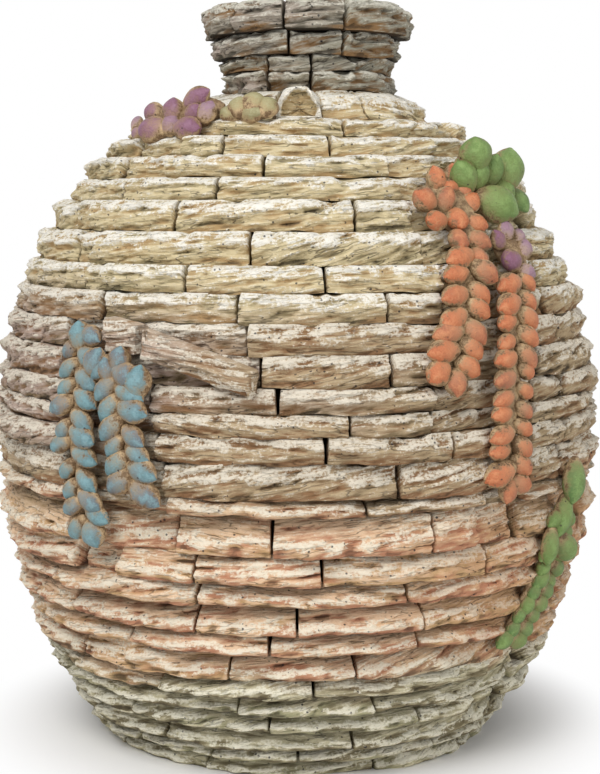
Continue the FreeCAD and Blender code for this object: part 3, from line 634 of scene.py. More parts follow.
def stone_grid(stone, look, roughness, course, number):
    """A split stone: sections round bed, face, ledge and back, carried along its bearing.

    The face swells from the undercut to the nose as a sine and falls back to the top as a power. The relief
    of split_relief is added to it, the top edge is chipped and the ends are rounded. Low courses have the
    nose further down and a ledge that slopes back above it. The paint values are the dry-brushed edge, the
    wash in the hollows together with painted shade at the foot of the face, on the bed and on covered
    ledges, how far a point is set in behind the nose, and one tint for the stone.
    """
    seed = 1000 * course
    draw = np.random.default_rng(seed + number)
    bottom, nose, top = stone.levels
    thickness = top - bottom
    nose_share = (nose - bottom) / thickness
    nose_radius = float(stone.faces[1].mean())
    spare = look.end_spare / nose_radius
    size = (stone.end - stone.start + 2.0 * spare) * nose_radius
    ends = min(look.end_round, 0.25 * size)
    along = columns_along(size, look.column, ends)[:, None]
    bearing_mid = stone.start - spare + along / nose_radius
    place = bearing_mid * nose_radius + NOISE_START + NOISE_STEP * course
    tilt = draw.normal(*GRAIN_RISE)
    slope = tilt * (place - place.mean())

    def along_noise(pitch, line, layers, salt):
        return layered_noise(place / pitch, np.full_like(place, line), layers, seed + salt)

    # Top edge, bed and rows of the face
    sloping = smooth_step(-top, -look.slope_top, -look.slope_full)
    low = sloping * np.clip(0.75 + 0.9 * along_noise(SHELF_PITCH, 5.5, 2, 3), 0.0, 1.2)
    chips = np.clip(along_noise(CHIP_PITCH, 0.5, 3, 5) - 0.15, 0.0, 1.0)
    drop = roughness * look.edge_chip * chips + look.edge_wave * along_noise(WAVE_PITCH, 1.5, 2, 4)
    lift = look.bed_lift * (along_noise(BED_PITCH, 3.5, 2, 6) - 0.35)
    face_rows = max(8, int(round(1.25 * thickness / look.row)))
    up = np.linspace(0.0, 1.0, face_rows)[None, :]
    front_height = bottom + lift + up * (thickness - lift - drop)
    slanted = front_height - slope

    # Face from the undercut over the nose to the crown
    waist = smooth_step(nose, *look.waist_foot) * (1.0 - smooth_step(nose, *look.waist_head))
    drawn = look.neck_draw * waist
    undercut, proud, crown = (stone.face_at(level, bearing_mid) - drawn for level in range(3))
    belly = math.exp(-((nose - look.belly_height) / look.belly_spread) ** 2)
    hollow = np.clip(along_noise(HOLLOW_PITCH, 2.5, 2, 11) + 0.4, 0.0, 1.0)
    undercut = undercut + look.undercut_fill * (1.0 - 1.3 * belly * hollow) * (proud - undercut)
    crown = crown - look.ledge_recess * low
    nose_place = np.maximum(nose_share - 0.42 * low, 0.17)
    below = np.sin(0.5 * math.pi * np.clip(up / nose_place, 0.0, 1.0)) ** 0.85
    above = np.clip((up - nose_place) / (1.0 - nose_place), 0.0, 1.0) ** 1.4
    profile = undercut + (proud - undercut) * below - (proud - crown) * above
    relief = roughness * split_relief(place, slanted, look, seed)
    lip = np.exp(-((up - nose_place) / 0.22) ** 2)
    ripple = roughness * look.nose_ripple * along_noise(RIPPLE_PITCH, 7.5, 2, 8) * lip
    keep = (0.35 + 0.65 * smooth_step(up, 0.0, 0.3)) * (1.0 - 0.5 * low * smooth_step(up, nose_place, 1.0))
    front_radius = profile + relief * keep + ripple

    # Bed, face and ledge in one grid
    first_back, _, last_back = stone.backs
    bed_radius = first_back + (front_radius[:, :1] - first_back) * BED_ROWS
    ledge_radius = front_radius[:, -1:] + (last_back - front_radius[:, -1:]) * LEDGE_ROWS
    grit = 1.0 + value_noise(place / GRIT_PITCH[0], ledge_radius / GRIT_PITCH[1], seed + 9)
    ledge_height = top - drop * (1.0 - smooth_step(LEDGE_ROWS, 0.0, 0.6))
    ledge_height = ledge_height - look.ledge_grit * roughness * grit * (1.0 - LEDGE_ROWS)
    radius = np.concatenate([bed_radius, front_radius, ledge_radius], axis=1)
    height = np.concatenate([bottom + lift * BED_ROWS, front_height, ledge_height], axis=1)

    # Rounded and slanted ends; nothing reaches below the floor
    inset = 1.0 - np.clip(np.minimum(along, size - along) / ends, 0.0, 1.0)
    inset = 1.0 - np.sqrt(1.0 - inset ** 2)
    backs = np.concatenate([np.full(BED_ROWS.size, first_back),
                            np.interp(up[0], [0.0, nose_share, 1.0], stone.backs),
                            np.full(LEDGE_ROWS.size, last_back)])
    retreat = draw.uniform(*END_RETREAT) * ends
    depth = radius - backs
    radius = backs + depth * (1.0 - inset * retreat / np.maximum(depth, retreat))
    middle_height = 0.5 * (bottom + top)
    height = np.maximum(middle_height + (height - middle_height) * (1.0 - 0.06 * inset), 0.0)
    start_slant, end_slant = draw.uniform(0.0, look.end_slant, 2)
    tall = smooth_step((height - bottom) / thickness, -0.3, 1.1)
    slant = start_slant * (1.0 - along / size) - end_slant * along / size
    points = polar(radius, bearing_mid + slant * tall / nose_radius, height)

    # Paint values
    dents = relief + ripple
    bulge = (dents - box_blur(dents, *STONE_WINDOW)) / BULGE_HEIGHT
    ragged = up + 0.12 * layered_noise(place / RAGGED_PITCH[0], slanted / RAGGED_PITCH[1], 3, seed + 32)
    bare_slope = 0.95 * low * smooth_step(ragged, nose_place + 0.16, nose_place + 0.38)
    brushed = smooth_step(ragged, nose_place - 0.30 + 0.18 * low, nose_place + 0.10) * (1.0 - bare_slope)
    edge_face = np.clip(0.92 * brushed + 0.36 * bulge + 0.02, 0.0, 1.0)
    edge_ledge = edge_face[:, -1:] * np.clip(1.0 - LEDGE_ROWS * 2.5, 0.0, 1.0)
    # Dark wash in the dents, and painted shade at the foot of the face, under the nose
    wash_and_shade_face = np.clip(-0.5 * bulge + 0.8 * (1.0 - smooth_step(ragged, 0.0, 0.30)), 0.0, 1.0)
    # Painted shade on the ledges that the next course covers, more of it deeper in; little on ledges in the
    # open
    shut_ledge = 1.0 - 0.85 * smooth_step(top, *look.open_ledges)
    wash_and_shade_ledge = np.ones_like(along) * smooth_step(LEDGE_ROWS, 0.1, 0.6) * shut_ledge
    # Painted shade over the whole bed under the stone
    bed = np.ones((len(along), BED_ROWS.size))
    edge = np.concatenate([0.0 * bed, edge_face, edge_ledge], axis=1)
    wash_and_shade = np.concatenate([bed, wash_and_shade_face, wash_and_shade_ledge], axis=1)
    set_in = np.clip((proud - radius) / SET_IN_DEPTH, 0.0, 1.0)
    tint = np.full_like(edge, draw.uniform(0.0, 1.0))

    # Coordinates that follow the split
    behind = np.minimum(radius - front_radius.mean(), 0.0)
    level = height - slope - 0.6 * behind
    layer = np.full_like(level, STONE_LAYER * number + COURSE_LAYER * course)
    split = np.stack([place + 0.0 * level, level, layer], axis=-1)
    return points, np.stack([edge, wash_and_shade, set_in, tint], axis=-1), split


def plump_leaf(base, axis, outward, size, half_width, thickness, tint):
    """A plump leaf: ellipses along a curved axis, its width a power of a sine, fullest past the middle.

    The front of each ellipse has a low keel. The paint values are how far a point stands on the crest of
    either face, its place along the leaf, none for the brown of a bed, which is grime and painted shade,
    and the tint.
    """
    rows = np.linspace(0.03, 0.985, LEAF_ROWS)[:, None]
    turn = np.linspace(0.0, 2.0 * math.pi, LEAF_TURNS, endpoint=False)[None, :]
    swell = np.sin(math.pi * rows ** 1.15) ** (0.46 + 0.34 * rows ** 2)
    side = np.cross(axis, outward)
    side = side / np.linalg.norm(side)
    face = np.cross(side, axis)
    face = face / np.linalg.norm(face)
    spine = base + axis * (size * rows[..., None]) - face * (LEAF_CURL * size * rows[..., None] ** 2)
    points = spine + side * (half_width * swell * np.cos(turn))[..., None]
    keel = 1.0 + 0.14 * np.clip(np.sin(turn), 0.0, 1.0) ** 6
    points = points + face * (thickness * swell * np.sin(turn) * keel)[..., None]
    lean = max(float(axis @ outward), 0.0)
    crest = np.maximum(np.abs(np.sin(turn)), lean * smooth_step(rows, 0.30, 0.75))
    crest = crest * smooth_step(rows, 0.04, 0.26)
    place = rows * np.ones_like(turn)
    none = np.zeros_like(place)
    return points, np.stack([crest, place, none, none + tint], axis=-1), points


def stem_tube(path, half_width, half_depth, outward):
    """A stem: ellipses carried along a path, wide along the wall and shallow, drawn in at each end."""
    turn = np.linspace(0.0, 2.0 * math.pi, STEM_TURNS, endpoint=False)[None, :, None]
    along = np.gradient(path, axis=0)
    along = along / np.linalg.norm(along, axis=1, keepdims=True)
    side = np.cross(along, outward)
    side = side / np.linalg.norm(side, axis=1, keepdims=True)
    face = np.cross(side, along)
    part = np.linspace(0.0, 1.0, len(path))[:, None, None]
    drawn = 0.35 + 0.65 * np.sin(math.pi * part) ** 0.5
    ring = side[:, None, :] * (half_width * np.cos(turn)) + face[:, None, :] * (half_depth * np.sin(turn))
    points = path[:, None, :] + drawn * ring
    paint = np.zeros((*points.shape[:2], 4))
    paint[..., 3] = 0.5
    return points, paint, points


def wall_frame(across, height, stand):
    """Place on the wall that the front shows at a sideways place and height, with unit vectors there.

    The vectors point out of the wall, to the right along it and up it. The wall's radius comes from the CAD
    courses, and is nowhere less than the stand, in millimetres. A place past its edge is set on its side.
    """
    span = 0.006
    radii = np.maximum(WALL_RADII, stand * MILLIMETRE)
    below, radius, over = np.interp((height - span, height, height + span), WALL_HEIGHTS, radii)
    forward = math.sqrt(max(radius ** 2 - across ** 2, (0.2 * radius) ** 2))
    point = np.array([across, -forward, height])
    bearing = math.atan2(across, forward)
    right = np.array([math.cos(bearing), math.sin(bearing), 0.0])
    radial = np.array([math.sin(bearing), -math.cos(bearing), 0.0])
    up = radial * (over - below) / (2.0 * span) + np.array([0.0, 0.0, 1.0])
    up = up / np.linalg.norm(up)
    return point, np.cross(right, up), right, up


def single_leaf(across, height, turn, lean, size, half_width, tint, stand=0.0, plump=0.74, rise=0.60):
    """A leaf set by the middle of its length on the wall, its turn in the wall and its lean out of it.

    The thickness and the rise off the wall are shares of the half width. The leaf faces partly forward, and
    a shaded one stands a little further off.
    """
    point, outward, right, up = wall_frame(across * MILLIMETRE, height * MILLIMETRE, stand)
    turn = math.radians(turn)
    axis = right * math.cos(turn) + up * math.sin(turn) + outward * lean
    axis = axis / np.linalg.norm(axis)
    off_wall = (rise + SHADED_RISE * min(tint, 1.0)) * half_width * MILLIMETRE
    base = point + np.cross(right, (0.0, 0.0, 1.0)) * off_wall - axis * (0.5 * size * MILLIMETRE)
    facing = outward + np.array([0.0, -LEAF_FORWARD, 0.0])
    return plump_leaf(base, axis, facing / np.linalg.norm(facing), size * MILLIMETRE,
                      half_width * MILLIMETRE, plump * half_width * MILLIMETRE, tint)


def finish_piece(piece, node, finish):
    """Gives a piece its material and ties it to the frame in place of its CAD node."""
    piece.data.materials.clear()
    piece.data.materials.append(finish)
    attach(piece, "root")
    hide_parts(node)


class Number:
    """A number that varies over a surface: arithmetic on it adds Math nodes."""

    def __init__(self, nodes, socket):
        self.nodes = nodes
        self.socket = socket

    def _math(self, operation, first, second):
        return self.nodes.number("ShaderNodeMath", {"operation": operation}, {0: first, 1: second})

    def __add__(self, other):
        return self._math("ADD", self, other)

    __radd__ = __add__

    def __mul__(self, other):
        return self._math("MULTIPLY", self, other)

    __rmul__ = __mul__

    def __sub__(self, other):
        return self._math("SUBTRACT", self, other)

    def __rsub__(self, other):
        return self._math("SUBTRACT", other, self)

    def larger(self, other):
        """The larger of two numbers."""
        return self._math("MAXIMUM", self, other)

    def away(self, centre):
        """Distance from a value, without its sign."""
        return self.nodes.number("ShaderNodeMath", {"operation": "ABSOLUTE"}, {0: self - centre})

    def step(self, low, high):
        """Smooth step from 0 at low to 1 at high."""
        return self.nodes.number("ShaderNodeMapRange", {"interpolation_type": "SMOOTHSTEP"},
                                 {"Value": self, "From Min": low, "From Max": high})


class Nodes:
    """A node tree, built from Python expressions."""

    def __init__(self, tree):
        self.tree = tree

    def node(self, kind, settings, sockets):
        """Adds a node, sets its settings first and then the values or links of its sockets."""
        made = self.tree.nodes.new(kind)
        for key, value in settings.items():
            setattr(made, key, value)
        for key, value in sockets.items():
            self.feed(made.inputs[key], value)
        return made

    def feed(self, socket, value):
        """Links a varying value to a socket, or sets a plain one on it."""
        if isinstance(value, Number):
            value = value.socket
        if isinstance(value, bpy.types.NodeSocket):
            self.tree.links.new(value, socket)
        else:
            socket.default_value = value

    def number(self, kind, settings, sockets, output=0):
        """Adds a node and takes one of its outputs as a number."""
        return Number(self, self.node(kind, settings, sockets).outputs[output])


class Shader(Nodes):
    """A material's node tree, with the noises and mixes that the finishes use."""

    def __init__(self, name):
        self.material = bpy.data.materials.new(name)
        self.material.use_nodes = True
        super().__init__(self.material.node_tree)
        self.surface = self.tree.nodes["Principled BSDF"]
        self.place = self.node("ShaderNodeTexCoord", {}, {}).outputs["Object"]
        self.split = self.node("ShaderNodeAttribute", {"attribute_name": "split"}, {}).outputs["Vector"]

    def axes(self):
        """The three coordinates as numbers."""
        node = self.node("ShaderNodeSeparateXYZ", {}, {0: self.place})
        return [Number(self, output) for output in node.outputs]

    def paint_values(self):
        """The four paint values that the mesh carries."""
        stored = self.node("ShaderNodeAttribute", {"attribute_name": "paint"}, {})
        parts = self.node("ShaderNodeSeparateColor", {}, {0: stored.outputs["Color"]})
        return [Number(self, output) for output in (*parts.outputs, stored.outputs["Alpha"])]

    def noise(self, pitch, detail):
        """Noise from about 0 to 1 over the object, with a pitch in metres."""
        return self.number("ShaderNodeTexNoise", {}, {"Vector": self.place, "Scale": 1.0 / pitch,
                                                      "Detail": detail, "Roughness": 0.55})

    def grained(self, along, across, detail):
        """Noise from about 0 to 1 that runs with the split, with a pitch along it and one across it."""
        scaled = self.node("ShaderNodeVectorMath", {"operation": "MULTIPLY"},
                           {0: self.split, 1: (1.0 / along, 1.0 / across, 1.0)})
        return self.number("ShaderNodeTexNoise", {}, {"Vector": scaled.outputs[0], "Scale": 1.0,
                                                      "Detail": detail, "Roughness": 0.6})

    def spots(self, pitch, low, high):
        """Round spots: 1 within low of a cell's middle and 0 beyond high, as shares of the pitch."""
        distance = self.number("ShaderNodeTexVoronoi", {}, {"Vector": self.place, "Scale": 1.0 / pitch},
                               "Distance")
        return 1.0 - distance.step(low, high)

    def mix(self, factor, first, second):
        """A colour between two."""
        made = self.node("ShaderNodeMix", {"data_type": "RGBA"}, {0: factor, 6: first, 7: second})
        return made.outputs[2]

    def bump(self, height, distance, strength):
        """Raises the surface by a height."""
        made = self.node("ShaderNodeBump", {},
                         {"Height": height, "Distance": distance, "Strength": strength})
        self.feed(self.surface.inputs["Normal"], made.outputs[0])

    def finish(self, base, roughness, specular):
        """Feeds the surface shader and returns the material."""
        self.feed(self.surface.inputs["Base Color"], base)
        self.feed(self.surface.inputs["Roughness"], roughness)
        self.feed(self.surface.inputs["Specular IOR Level"], specular)
        return self.material


def linear(shown):
    """Scene-linear RGBA of a colour written as a screen shows it."""
    values = [part / 12.92 if part <= 0.04045 else ((part + 0.055) / 1.055) ** 2.4 for part in shown]
    return (*values, 1.0)


def split_stone_material(paint):
    """Painted split stone: colours by height, washes and painted shade in hollows, pale dry-brushed edges,
    cracks, flecks.
    """
    shader = Shader("split_stone")
    edge, wash_and_shade, set_in, tint = shader.paint_values()
    across, _, height = shader.axes()
    wander = shader.noise(0.060, 2.0)
    broad = shader.grained(0.030, 0.0070, 2.0)
    streak = shader.grained(0.0100, 0.0014, 4.0)
    crack = shader.grained(0.0240, 0.0036, 2.0)
    mottle = shader.noise(0.0015, 3.0)
    grain = shader.noise(0.0008, 2.0)
    level = height + (wander - 0.5) * 0.030 + (tint - 0.5) * 0.014
    to_salmon = level.step(*paint.salmon_start)
    to_belly = level.step(*paint.belly_start)
    to_sand = level.step(*paint.sand_start)
    to_grey = height.step(*paint.grey_start) * set_in.step(-1.0, 0.0)
    zones = (("salmon", to_salmon), ("belly", to_belly), ("sand", to_sand), ("grey", to_grey))

    def by_height(part):
        mixed = linear(getattr(paint, f"moss_{part}"))
        for zone, weight in zones:
            mixed = shader.mix(weight, mixed, linear(getattr(paint, f"{zone}_{part}")))
        return mixed

    face, pale, recess, olive = (by_height(part) for part in ("face", "edge", "recess", "shade"))
    dark = linear(paint.joint)
    # Mauve patches round the belly and at the neck, stronger to the left: own tint, and painted cool shade
    # on the left side
    band = level.step(*paint.mauve_start) * (1.0 - to_sand) + to_grey * 0.8
    mauve = band * (wander * 0.5 + tint * 0.45 - across * 3.2).step(0.42, 0.85)
    face = shader.mix(mauve * 0.75, face, linear(paint.mauve_face))
    # Darker, warmer faces to the right of the middle courses, with less pale paint over them: a warmer wash,
    # and painted shade on the right side
    ochre = to_salmon * (1.0 - to_belly) * (across + (wander - 0.5) * 0.060).step(*paint.ochre_side)
    face = shader.mix(ochre * 0.8, face, linear(paint.ochre_face))
    # Recess and olive washes; the tone below pulls them to the foot of each face and into dents, where they
    # are also painted shade
    stain_and_shade = shader.mix((broad + (tint - 0.5) * 0.3).step(0.42, 0.62), recess, olive)
    tone = streak * 0.62 + broad * 0.38 - wash_and_shade * 0.22
    base = shader.mix(tone.step(0.30, 0.54), stain_and_shade, face)
    lit = streak * 0.60 + mottle * 0.40 + edge * 0.22 - wash_and_shade * 0.20
    base = shader.mix(lit.step(0.52, 0.80) * (1.0 - ochre * 0.6) * 0.7, base, pale)
    brushed = (edge + (mottle - 0.5) * 2.6 + (streak - 0.5) * 1.6).step(0.45, 1.0)
    base = shader.mix(brushed * (1.0 - ochre * 0.5) * 0.85, base, pale)
    smudge = shader.grained(0.0030, 0.0012, 3.0).step(0.56, 0.68) * edge
    base = shader.mix(smudge * 0.45, base, olive)
    line = (1.0 - crack.away(0.5).step(0.004, 0.022)) * (1.0 - edge * 0.6) * broad.step(0.40, 0.58)
    base = shader.mix(line * 0.55, base, dark)
    # Joint colour at the foot of each face, on beds, on covered ledges and deep behind the noses: dark wash
    # and painted shade
    base = shader.mix((wash_and_shade + set_in * 0.5).step(0.75, 1.25) * 0.8, base, dark)
    spatter = shader.spots(0.0042, 0.11, 0.17) + shader.spots(0.0085, 0.06, 0.10)
    spatter = spatter * mottle.step(0.42, 0.50) * shader.noise(0.014, 1.0).step(0.40, 0.50)
    base = shader.mix(spatter * 0.85, base, linear(paint.fleck))
    shader.bump(streak * 0.6 + mottle * 0.3 + grain * 0.1 - line * 0.3, 0.0030, 0.9)
    return shader.finish(base, 0.88, 0.25)


def leaf_material(name, leaf, kind):
    """Painted leaf: colour on the crest, painted highlights on top, shading by leaf, wear towards the foot.

    The seams keep tan paint mixed with brown grime and painted shade, the beds are brown with grime and
    painted shade between the leaves, and brown patches of grime and painted shade, and dark pits, lie over
    all of it.
    """
    shader = Shader(name)
    crest, along, deep, tint = shader.paint_values()
    rim, wear = (leaf.green_rim, leaf.green_wear) if kind == "green" else (leaf.bare_rim, leaf.wear)
    own, light, shade = (linear(getattr(leaf, kind + part)) for part in ("", "_light", "_shade"))
    tan = linear(leaf.seam)
    brown = linear(leaf.dirt)
    blotch = shader.noise(0.0042, 4.0)
    patch = shader.noise(0.0100, 2.0)
    grain = shader.noise(0.0009, 3.0)
    mottle = (blotch - 0.5) * 1.5 + (grain - 0.5) * 0.9
    shaded = (mottle * 0.8 + (patch - 0.5) * 1.2 + tint).step(0.40, 1.05)
    base = shader.mix(shaded * 0.9, own, shade)
    # Painted highlight on the crests, with lighter paint towards the tips
    lit = (crest + along * 0.4 + mottle * 1.1).step(0.90, 1.60)
    base = shader.mix(lit * 0.7, base, light)
    kept = (along * 0.8 + crest * 0.5 + mottle * 0.6).step(0.30, 1.15)
    base = shader.mix((1.0 - kept) * wear, base, tan)
    # Seams between brown and tan by noise: the brown is grime and painted shade between the leaves
    seam = shader.mix((blotch * 0.6 + grain * 0.4).step(0.38, 0.62), brown, tan)
    rub = (crest + along * 0.20 + mottle * 0.85).step(rim, rim + 0.35)
    rub = rub * (along + mottle * 0.25).step(0.02, 0.30)
    base = shader.mix(rub, seam, base)
    # Brown patches, a little more on the flanks than on the crests: grime and painted shade
    dirt_and_shade_patches = (patch * 0.4 + grain * 0.6 - crest * 0.12).step(0.45, 0.62)
    base = shader.mix(dirt_and_shade_patches * 0.45, base, brown)
    # Beds take more brown: grime and painted shade behind the leaves
    base = shader.mix(deep * (blotch * 0.5 + grain * 0.5).step(0.70, 0.40), base, brown)
    pits = shader.spots(0.0050, 0.08, 0.14) * patch.step(0.47, 0.55)
    base = shader.mix(pits * 0.85, base, linear(leaf.pit))
    shader.bump(blotch * 0.6 + grain * 0.4, 0.0020, 0.8)
    return shader.finish(base, 0.55, 0.35)


def shell_material(paint):
    """Cast shell: matt brown with soft, darker blotches."""
    shader = Shader("cast_clay")
    blotch = shader.noise(0.018, 4.0)
    brown = linear(paint.shell)
    dark = (*(0.45 * part for part in brown[:3]), 1.0)
    base = shader.mix(blotch.step(0.35, 0.7), brown, dark)
    shader.bump(blotch, 0.002, 0.5)
    return shader.finish(base, 0.92, 0.2)


def material(name):
    """A finish by name, made when it is first asked for."""
    looks = bpy.context.scene.vase_looks
    made = bpy.data.materials.get(name)
    if made is None and name == "split_stone":
        made = split_stone_material(looks.paint)
    elif made is None and name == "cast_clay":
        made = shell_material(looks.paint)
    elif made is None:
        made = leaf_material(name, looks.leaf, name.split("_")[1])
    return made


def leaf_finish(node):
    """The painted finish that a plant's slot names."""
    return material("painted_" + SLOTS[node].split("_")[0])


def backing_stone():
    """Points of the low stone that closes the cove behind the boss: arcs at each level's face and back."""
    bearing = np.radians(np.linspace(*BACKING_BEARINGS, 6))
    even = np.full_like(bearing, MILLIMETRE)
    arcs = []
    for height, *radii in BACKING_LEVELS:
        arcs += [polar(radius * even, bearing, height * even) for radius in radii]
    return np.concatenate(arcs)


def build_course(node, number, roughness, loose=()):
    """One object for all the stones of a course, with any loose stones that go with it."""
    look = bpy.context.scene.vase_looks.stone
    pieces = Pieces()
    for position, points in enumerate((*cad_solids(node), *loose)):
        pieces.tube(*stone_grid(Stone(points), look, roughness, number, position))
    finish_piece(pieces.make(f"{node}_split", STONE_CREASE), node, material("split_stone"))


class VASE_OT_body(bpy.types.Operator):
    """Build the split stones of the body, one object for each course"""
    bl_idname = "vase.body"
    bl_label = "Body courses"

    def execute(self, context):
        for number, node in enumerate(BODY_COURSES, start=1):
            build_course(node, number, 1.0)
        return {"FINISHED"}


class VASE_OT_neck(bpy.types.Operator):
    """Build the cove and the rough stones of the neck and rim"""
    bl_idname = "vase.neck"
    bl_label = "Neck and rim"

    def execute(self, context):
        build_course("cove_stones", COVE_NUMBER, 1.0, (backing_stone(),))
        for number, node in enumerate(NECK_COURSES, start=NECK_NUMBER):
            build_course(node, number, NECK_ROUGHNESS)
        return {"FINISHED"}


def stem_leaves(path, count, first, sides, draw):
    """Leaves down both sides of a stem: place, height, turn, lean, length, half width and tint of each.

    The leaves of the first side stand half a pitch lower, and the last pair is larger.
    """
    pitch = (path[0, 1] - path[-1, 1]) / count
    for step in range(count):
        for side, (size, half_width, spread) in zip((-1, 1), sides):
            height = path[0, 1] - pitch * (step + 0.5 * (side == first))
            off_stem = math.radians(spread + draw.uniform(-LEAF_SWING, LEAF_SWING))
            grow = draw.uniform(*LEAF_GROWTH) * (LAST_GROWTH if step == count - 1 else 1.0)
            across = np.interp(-height, -path[:, 1], path[:, 0])
            across = across + side * LEAF_REACH * size * math.sin(off_stem)
            lean = draw.uniform(0.0, MOST_LEAN)
            tint = draw.uniform(0.0, 1.0)
            yield (across, height - 0.5 * size * math.cos(off_stem), -90.0 + side * math.degrees(off_stem),
                   lean, size * grow, half_width * grow, tint)


class VASE_OT_stems(bpy.types.Operator):
    """Build the hanging stems: leaves down both sides, one side half a pitch lower, over a tan web"""
    bl_idname = "vase.stems"
    bl_label = "Hanging stems"

    def execute(self, context):
        look = context.scene.vase_looks.leaf
        for seed, (node, row) in enumerate(STEMS.items(), start=STEM_SEED):
            path, count, first, left, right, web, singles = row
            draw = np.random.default_rng(seed)
            path = np.array(path, dtype=float)
            marks = np.linspace(path[0, 1], path[-1, 1], 4 * count)
            across = np.interp(-marks, -path[:, 1], path[:, 0])
            frames = [wall_frame(x * MILLIMETRE, z * MILLIMETRE, 0.0) for x, z in zip(across, marks)]
            spine = np.array([point for point, *_ in frames])
            _, outward, _, _ = frames[2 * count]
            pieces = Pieces()
            pieces.tube(*stem_tube(spine, web * MILLIMETRE, look.stem_depth, outward))
            for leaf in stem_leaves(path, count, first, (left, right), draw):
                pieces.tube(*single_leaf(*leaf))
            for leaf in singles:
                pieces.tube(*single_leaf(*leaf, draw.uniform(0.0, 1.0)))
            finish_piece(pieces.make(f"{node}_leaves", LEAF_CREASE), node, leaf_finish(node))
        return {"FINISHED"}


class VASE_OT_clusters(bpy.types.Operator):
    """Build the rosettes, buds and boss, each leaf set one by one over its bed"""
    bl_idname = "vase.clusters"
    bl_label = "Rosettes"

    def execute(self, context):
        for node, leaves in CLUSTERS.items():
            pieces = Pieces()
            stand = STANDS.get(node, 0.0)
            for *bed, plump, rise, brown in BEDS[node]:
                points, paint, split = single_leaf(*bed, 0.0, stand, plump, rise)
                # A bed trades its crest colour for brown paint: grime and painted shade between the leaves
                paint[..., 0] *= 1.0 - brown
                paint[..., 2] = BED_BROWN * brown
                pieces.tube(points, paint, split)
            for leaf in leaves:
                pieces.tube(*single_leaf(*leaf, stand))
            finish_piece(pieces.make(f"{node}_leaves", LEAF_CREASE), node, leaf_finish(node))
        return {"FINISHED"}


def around(turns, middle, spread):
    """A bell curve of the turn about a slab's length, as a row."""
    return np.exp(-((turns - middle) / spread) ** 2)[None, :]


def slab_grid(node, look, seed):
    """A split slab: sections of the CAD solid, grown and widened, carried along its length.

    Split relief is added to its face, its top edge is chipped and its ends are drawn in. Turns are measured
    from straight out of the wall, positive upwards.
    """
    points, corners = cad_mesh(node)
    middle = points.mean(axis=0)
    lengthwise = np.linalg.svd(points - middle, full_matrices=False)[2][0]
    lengthwise = lengthwise * np.sign(lengthwise[0])
    out = np.array([middle[0], middle[1], 0.0])
    up = np.cross(out, lengthwise)
    up = up / np.linalg.norm(up)
    out = np.cross(lengthwise, up)
    growth, widening, shift = SLABS[node]
    axes = np.stack([lengthwise, out, up], axis=1)
    local = (points - middle) @ axes * np.array(growth)
    middle = middle + axes @ np.array(shift) * MILLIMETRE
    first = local[:, 0].min()
    size = local[:, 0].max() - first
    local[:, 2] *= 1.0 + widening * (local[:, 0] - first) / size

    # Sections of the solid
    along = columns_along(size, look.column, look.end_round)[:, None]
    turns = np.linspace(-math.pi, math.pi, SLAB_TURNS, endpoint=False)
    starts = local[corners].reshape(-1, 3)
    ends = local[np.roll(corners, -1, axis=1)].reshape(-1, 3)
    planes = np.zeros((len(along), 3))
    planes[:, :1] = first + np.clip(along, SLAB_INSET, size - SLAB_INSET)
    cuts = [section_radii(starts - plane, ends - plane, turns) for plane in planes]
    radius = np.stack([radii for radii, _ in cuts])
    centre = np.stack([section_middle for _, section_middle in cuts])

    # Relief, chips and ends
    place = along + 3.0
    slope = 0.2 * along
    facing = smooth_step(np.cos(turns), 0.05, 0.55)[None, :]
    relief = split_relief(place, radius * np.sin(turns) - slope, look, seed) * facing
    chips = np.clip(layered_noise(place / SLAB_CHIP_PITCH, np.full_like(place, 0.5), 3, seed + 5), 0.0, 1.0)
    near_end = (1.0 - np.clip(np.minimum(along, size - along) / look.end_round, 0.0, 1.0)) ** 2
    radius = radius + relief - look.edge_chip * chips * around(turns, 0.9, 0.4) - SLAB_END_DRAW * near_end
    across = centre[:, :1] + radius * np.cos(turns)
    rise = centre[:, 1:] + radius * np.sin(turns)
    spine = middle + lengthwise * (first + along)
    grid = spine[:, None, :] + out * across[..., None] + up * rise[..., None]

    # Paint values
    bulge = (relief - box_blur(relief, *SLAB_WINDOW)) / BULGE_HEIGHT
    lower_lip = around(turns, -0.75, 0.30) * smooth_step(along / size, 0.35, 0.8)
    brushed = around(turns, 0.75, 0.30) * 0.7 + lower_lip + 0.8 * near_end
    scratched = value_noise(place / SCRATCH_PITCH[0], rise / SCRATCH_PITCH[1], seed + 7)
    edge = np.clip(brushed * (0.7 + 0.3 * scratched) + 0.35 * bulge + 0.30, 0.0, 1.0)
    # Wash in the dents, and painted shade over the slab's underside
    under = (1.0 - smooth_step(turns, -1.5, -0.9))[None, :]
    wash_and_shade = np.clip(0.9 * under - 0.5 * bulge, 0.0, 1.0)
    none = np.zeros_like(edge)
    split = np.stack([place + none, rise - slope, none + seed], axis=-1)
    return grid, np.stack([edge, wash_and_shade, none, none + 0.45], axis=-1), split


class VASE_OT_slabs(bpy.types.Operator):
    """Build the slipped slab and the shard that broke off its end"""
    bl_idname = "vase.slabs"
    bl_label = "Slipped slab and shard"

    def execute(self, context):
        look = context.scene.vase_looks.stone
        for seed, node in enumerate(SLABS, start=SLAB_SEED):
            pieces = Pieces()
            pieces.tube(*slab_grid(node, look, seed))
            finish_piece(pieces.make(f"{node}_split", STONE_CREASE), node, material("split_stone"))
        return {"FINISHED"}


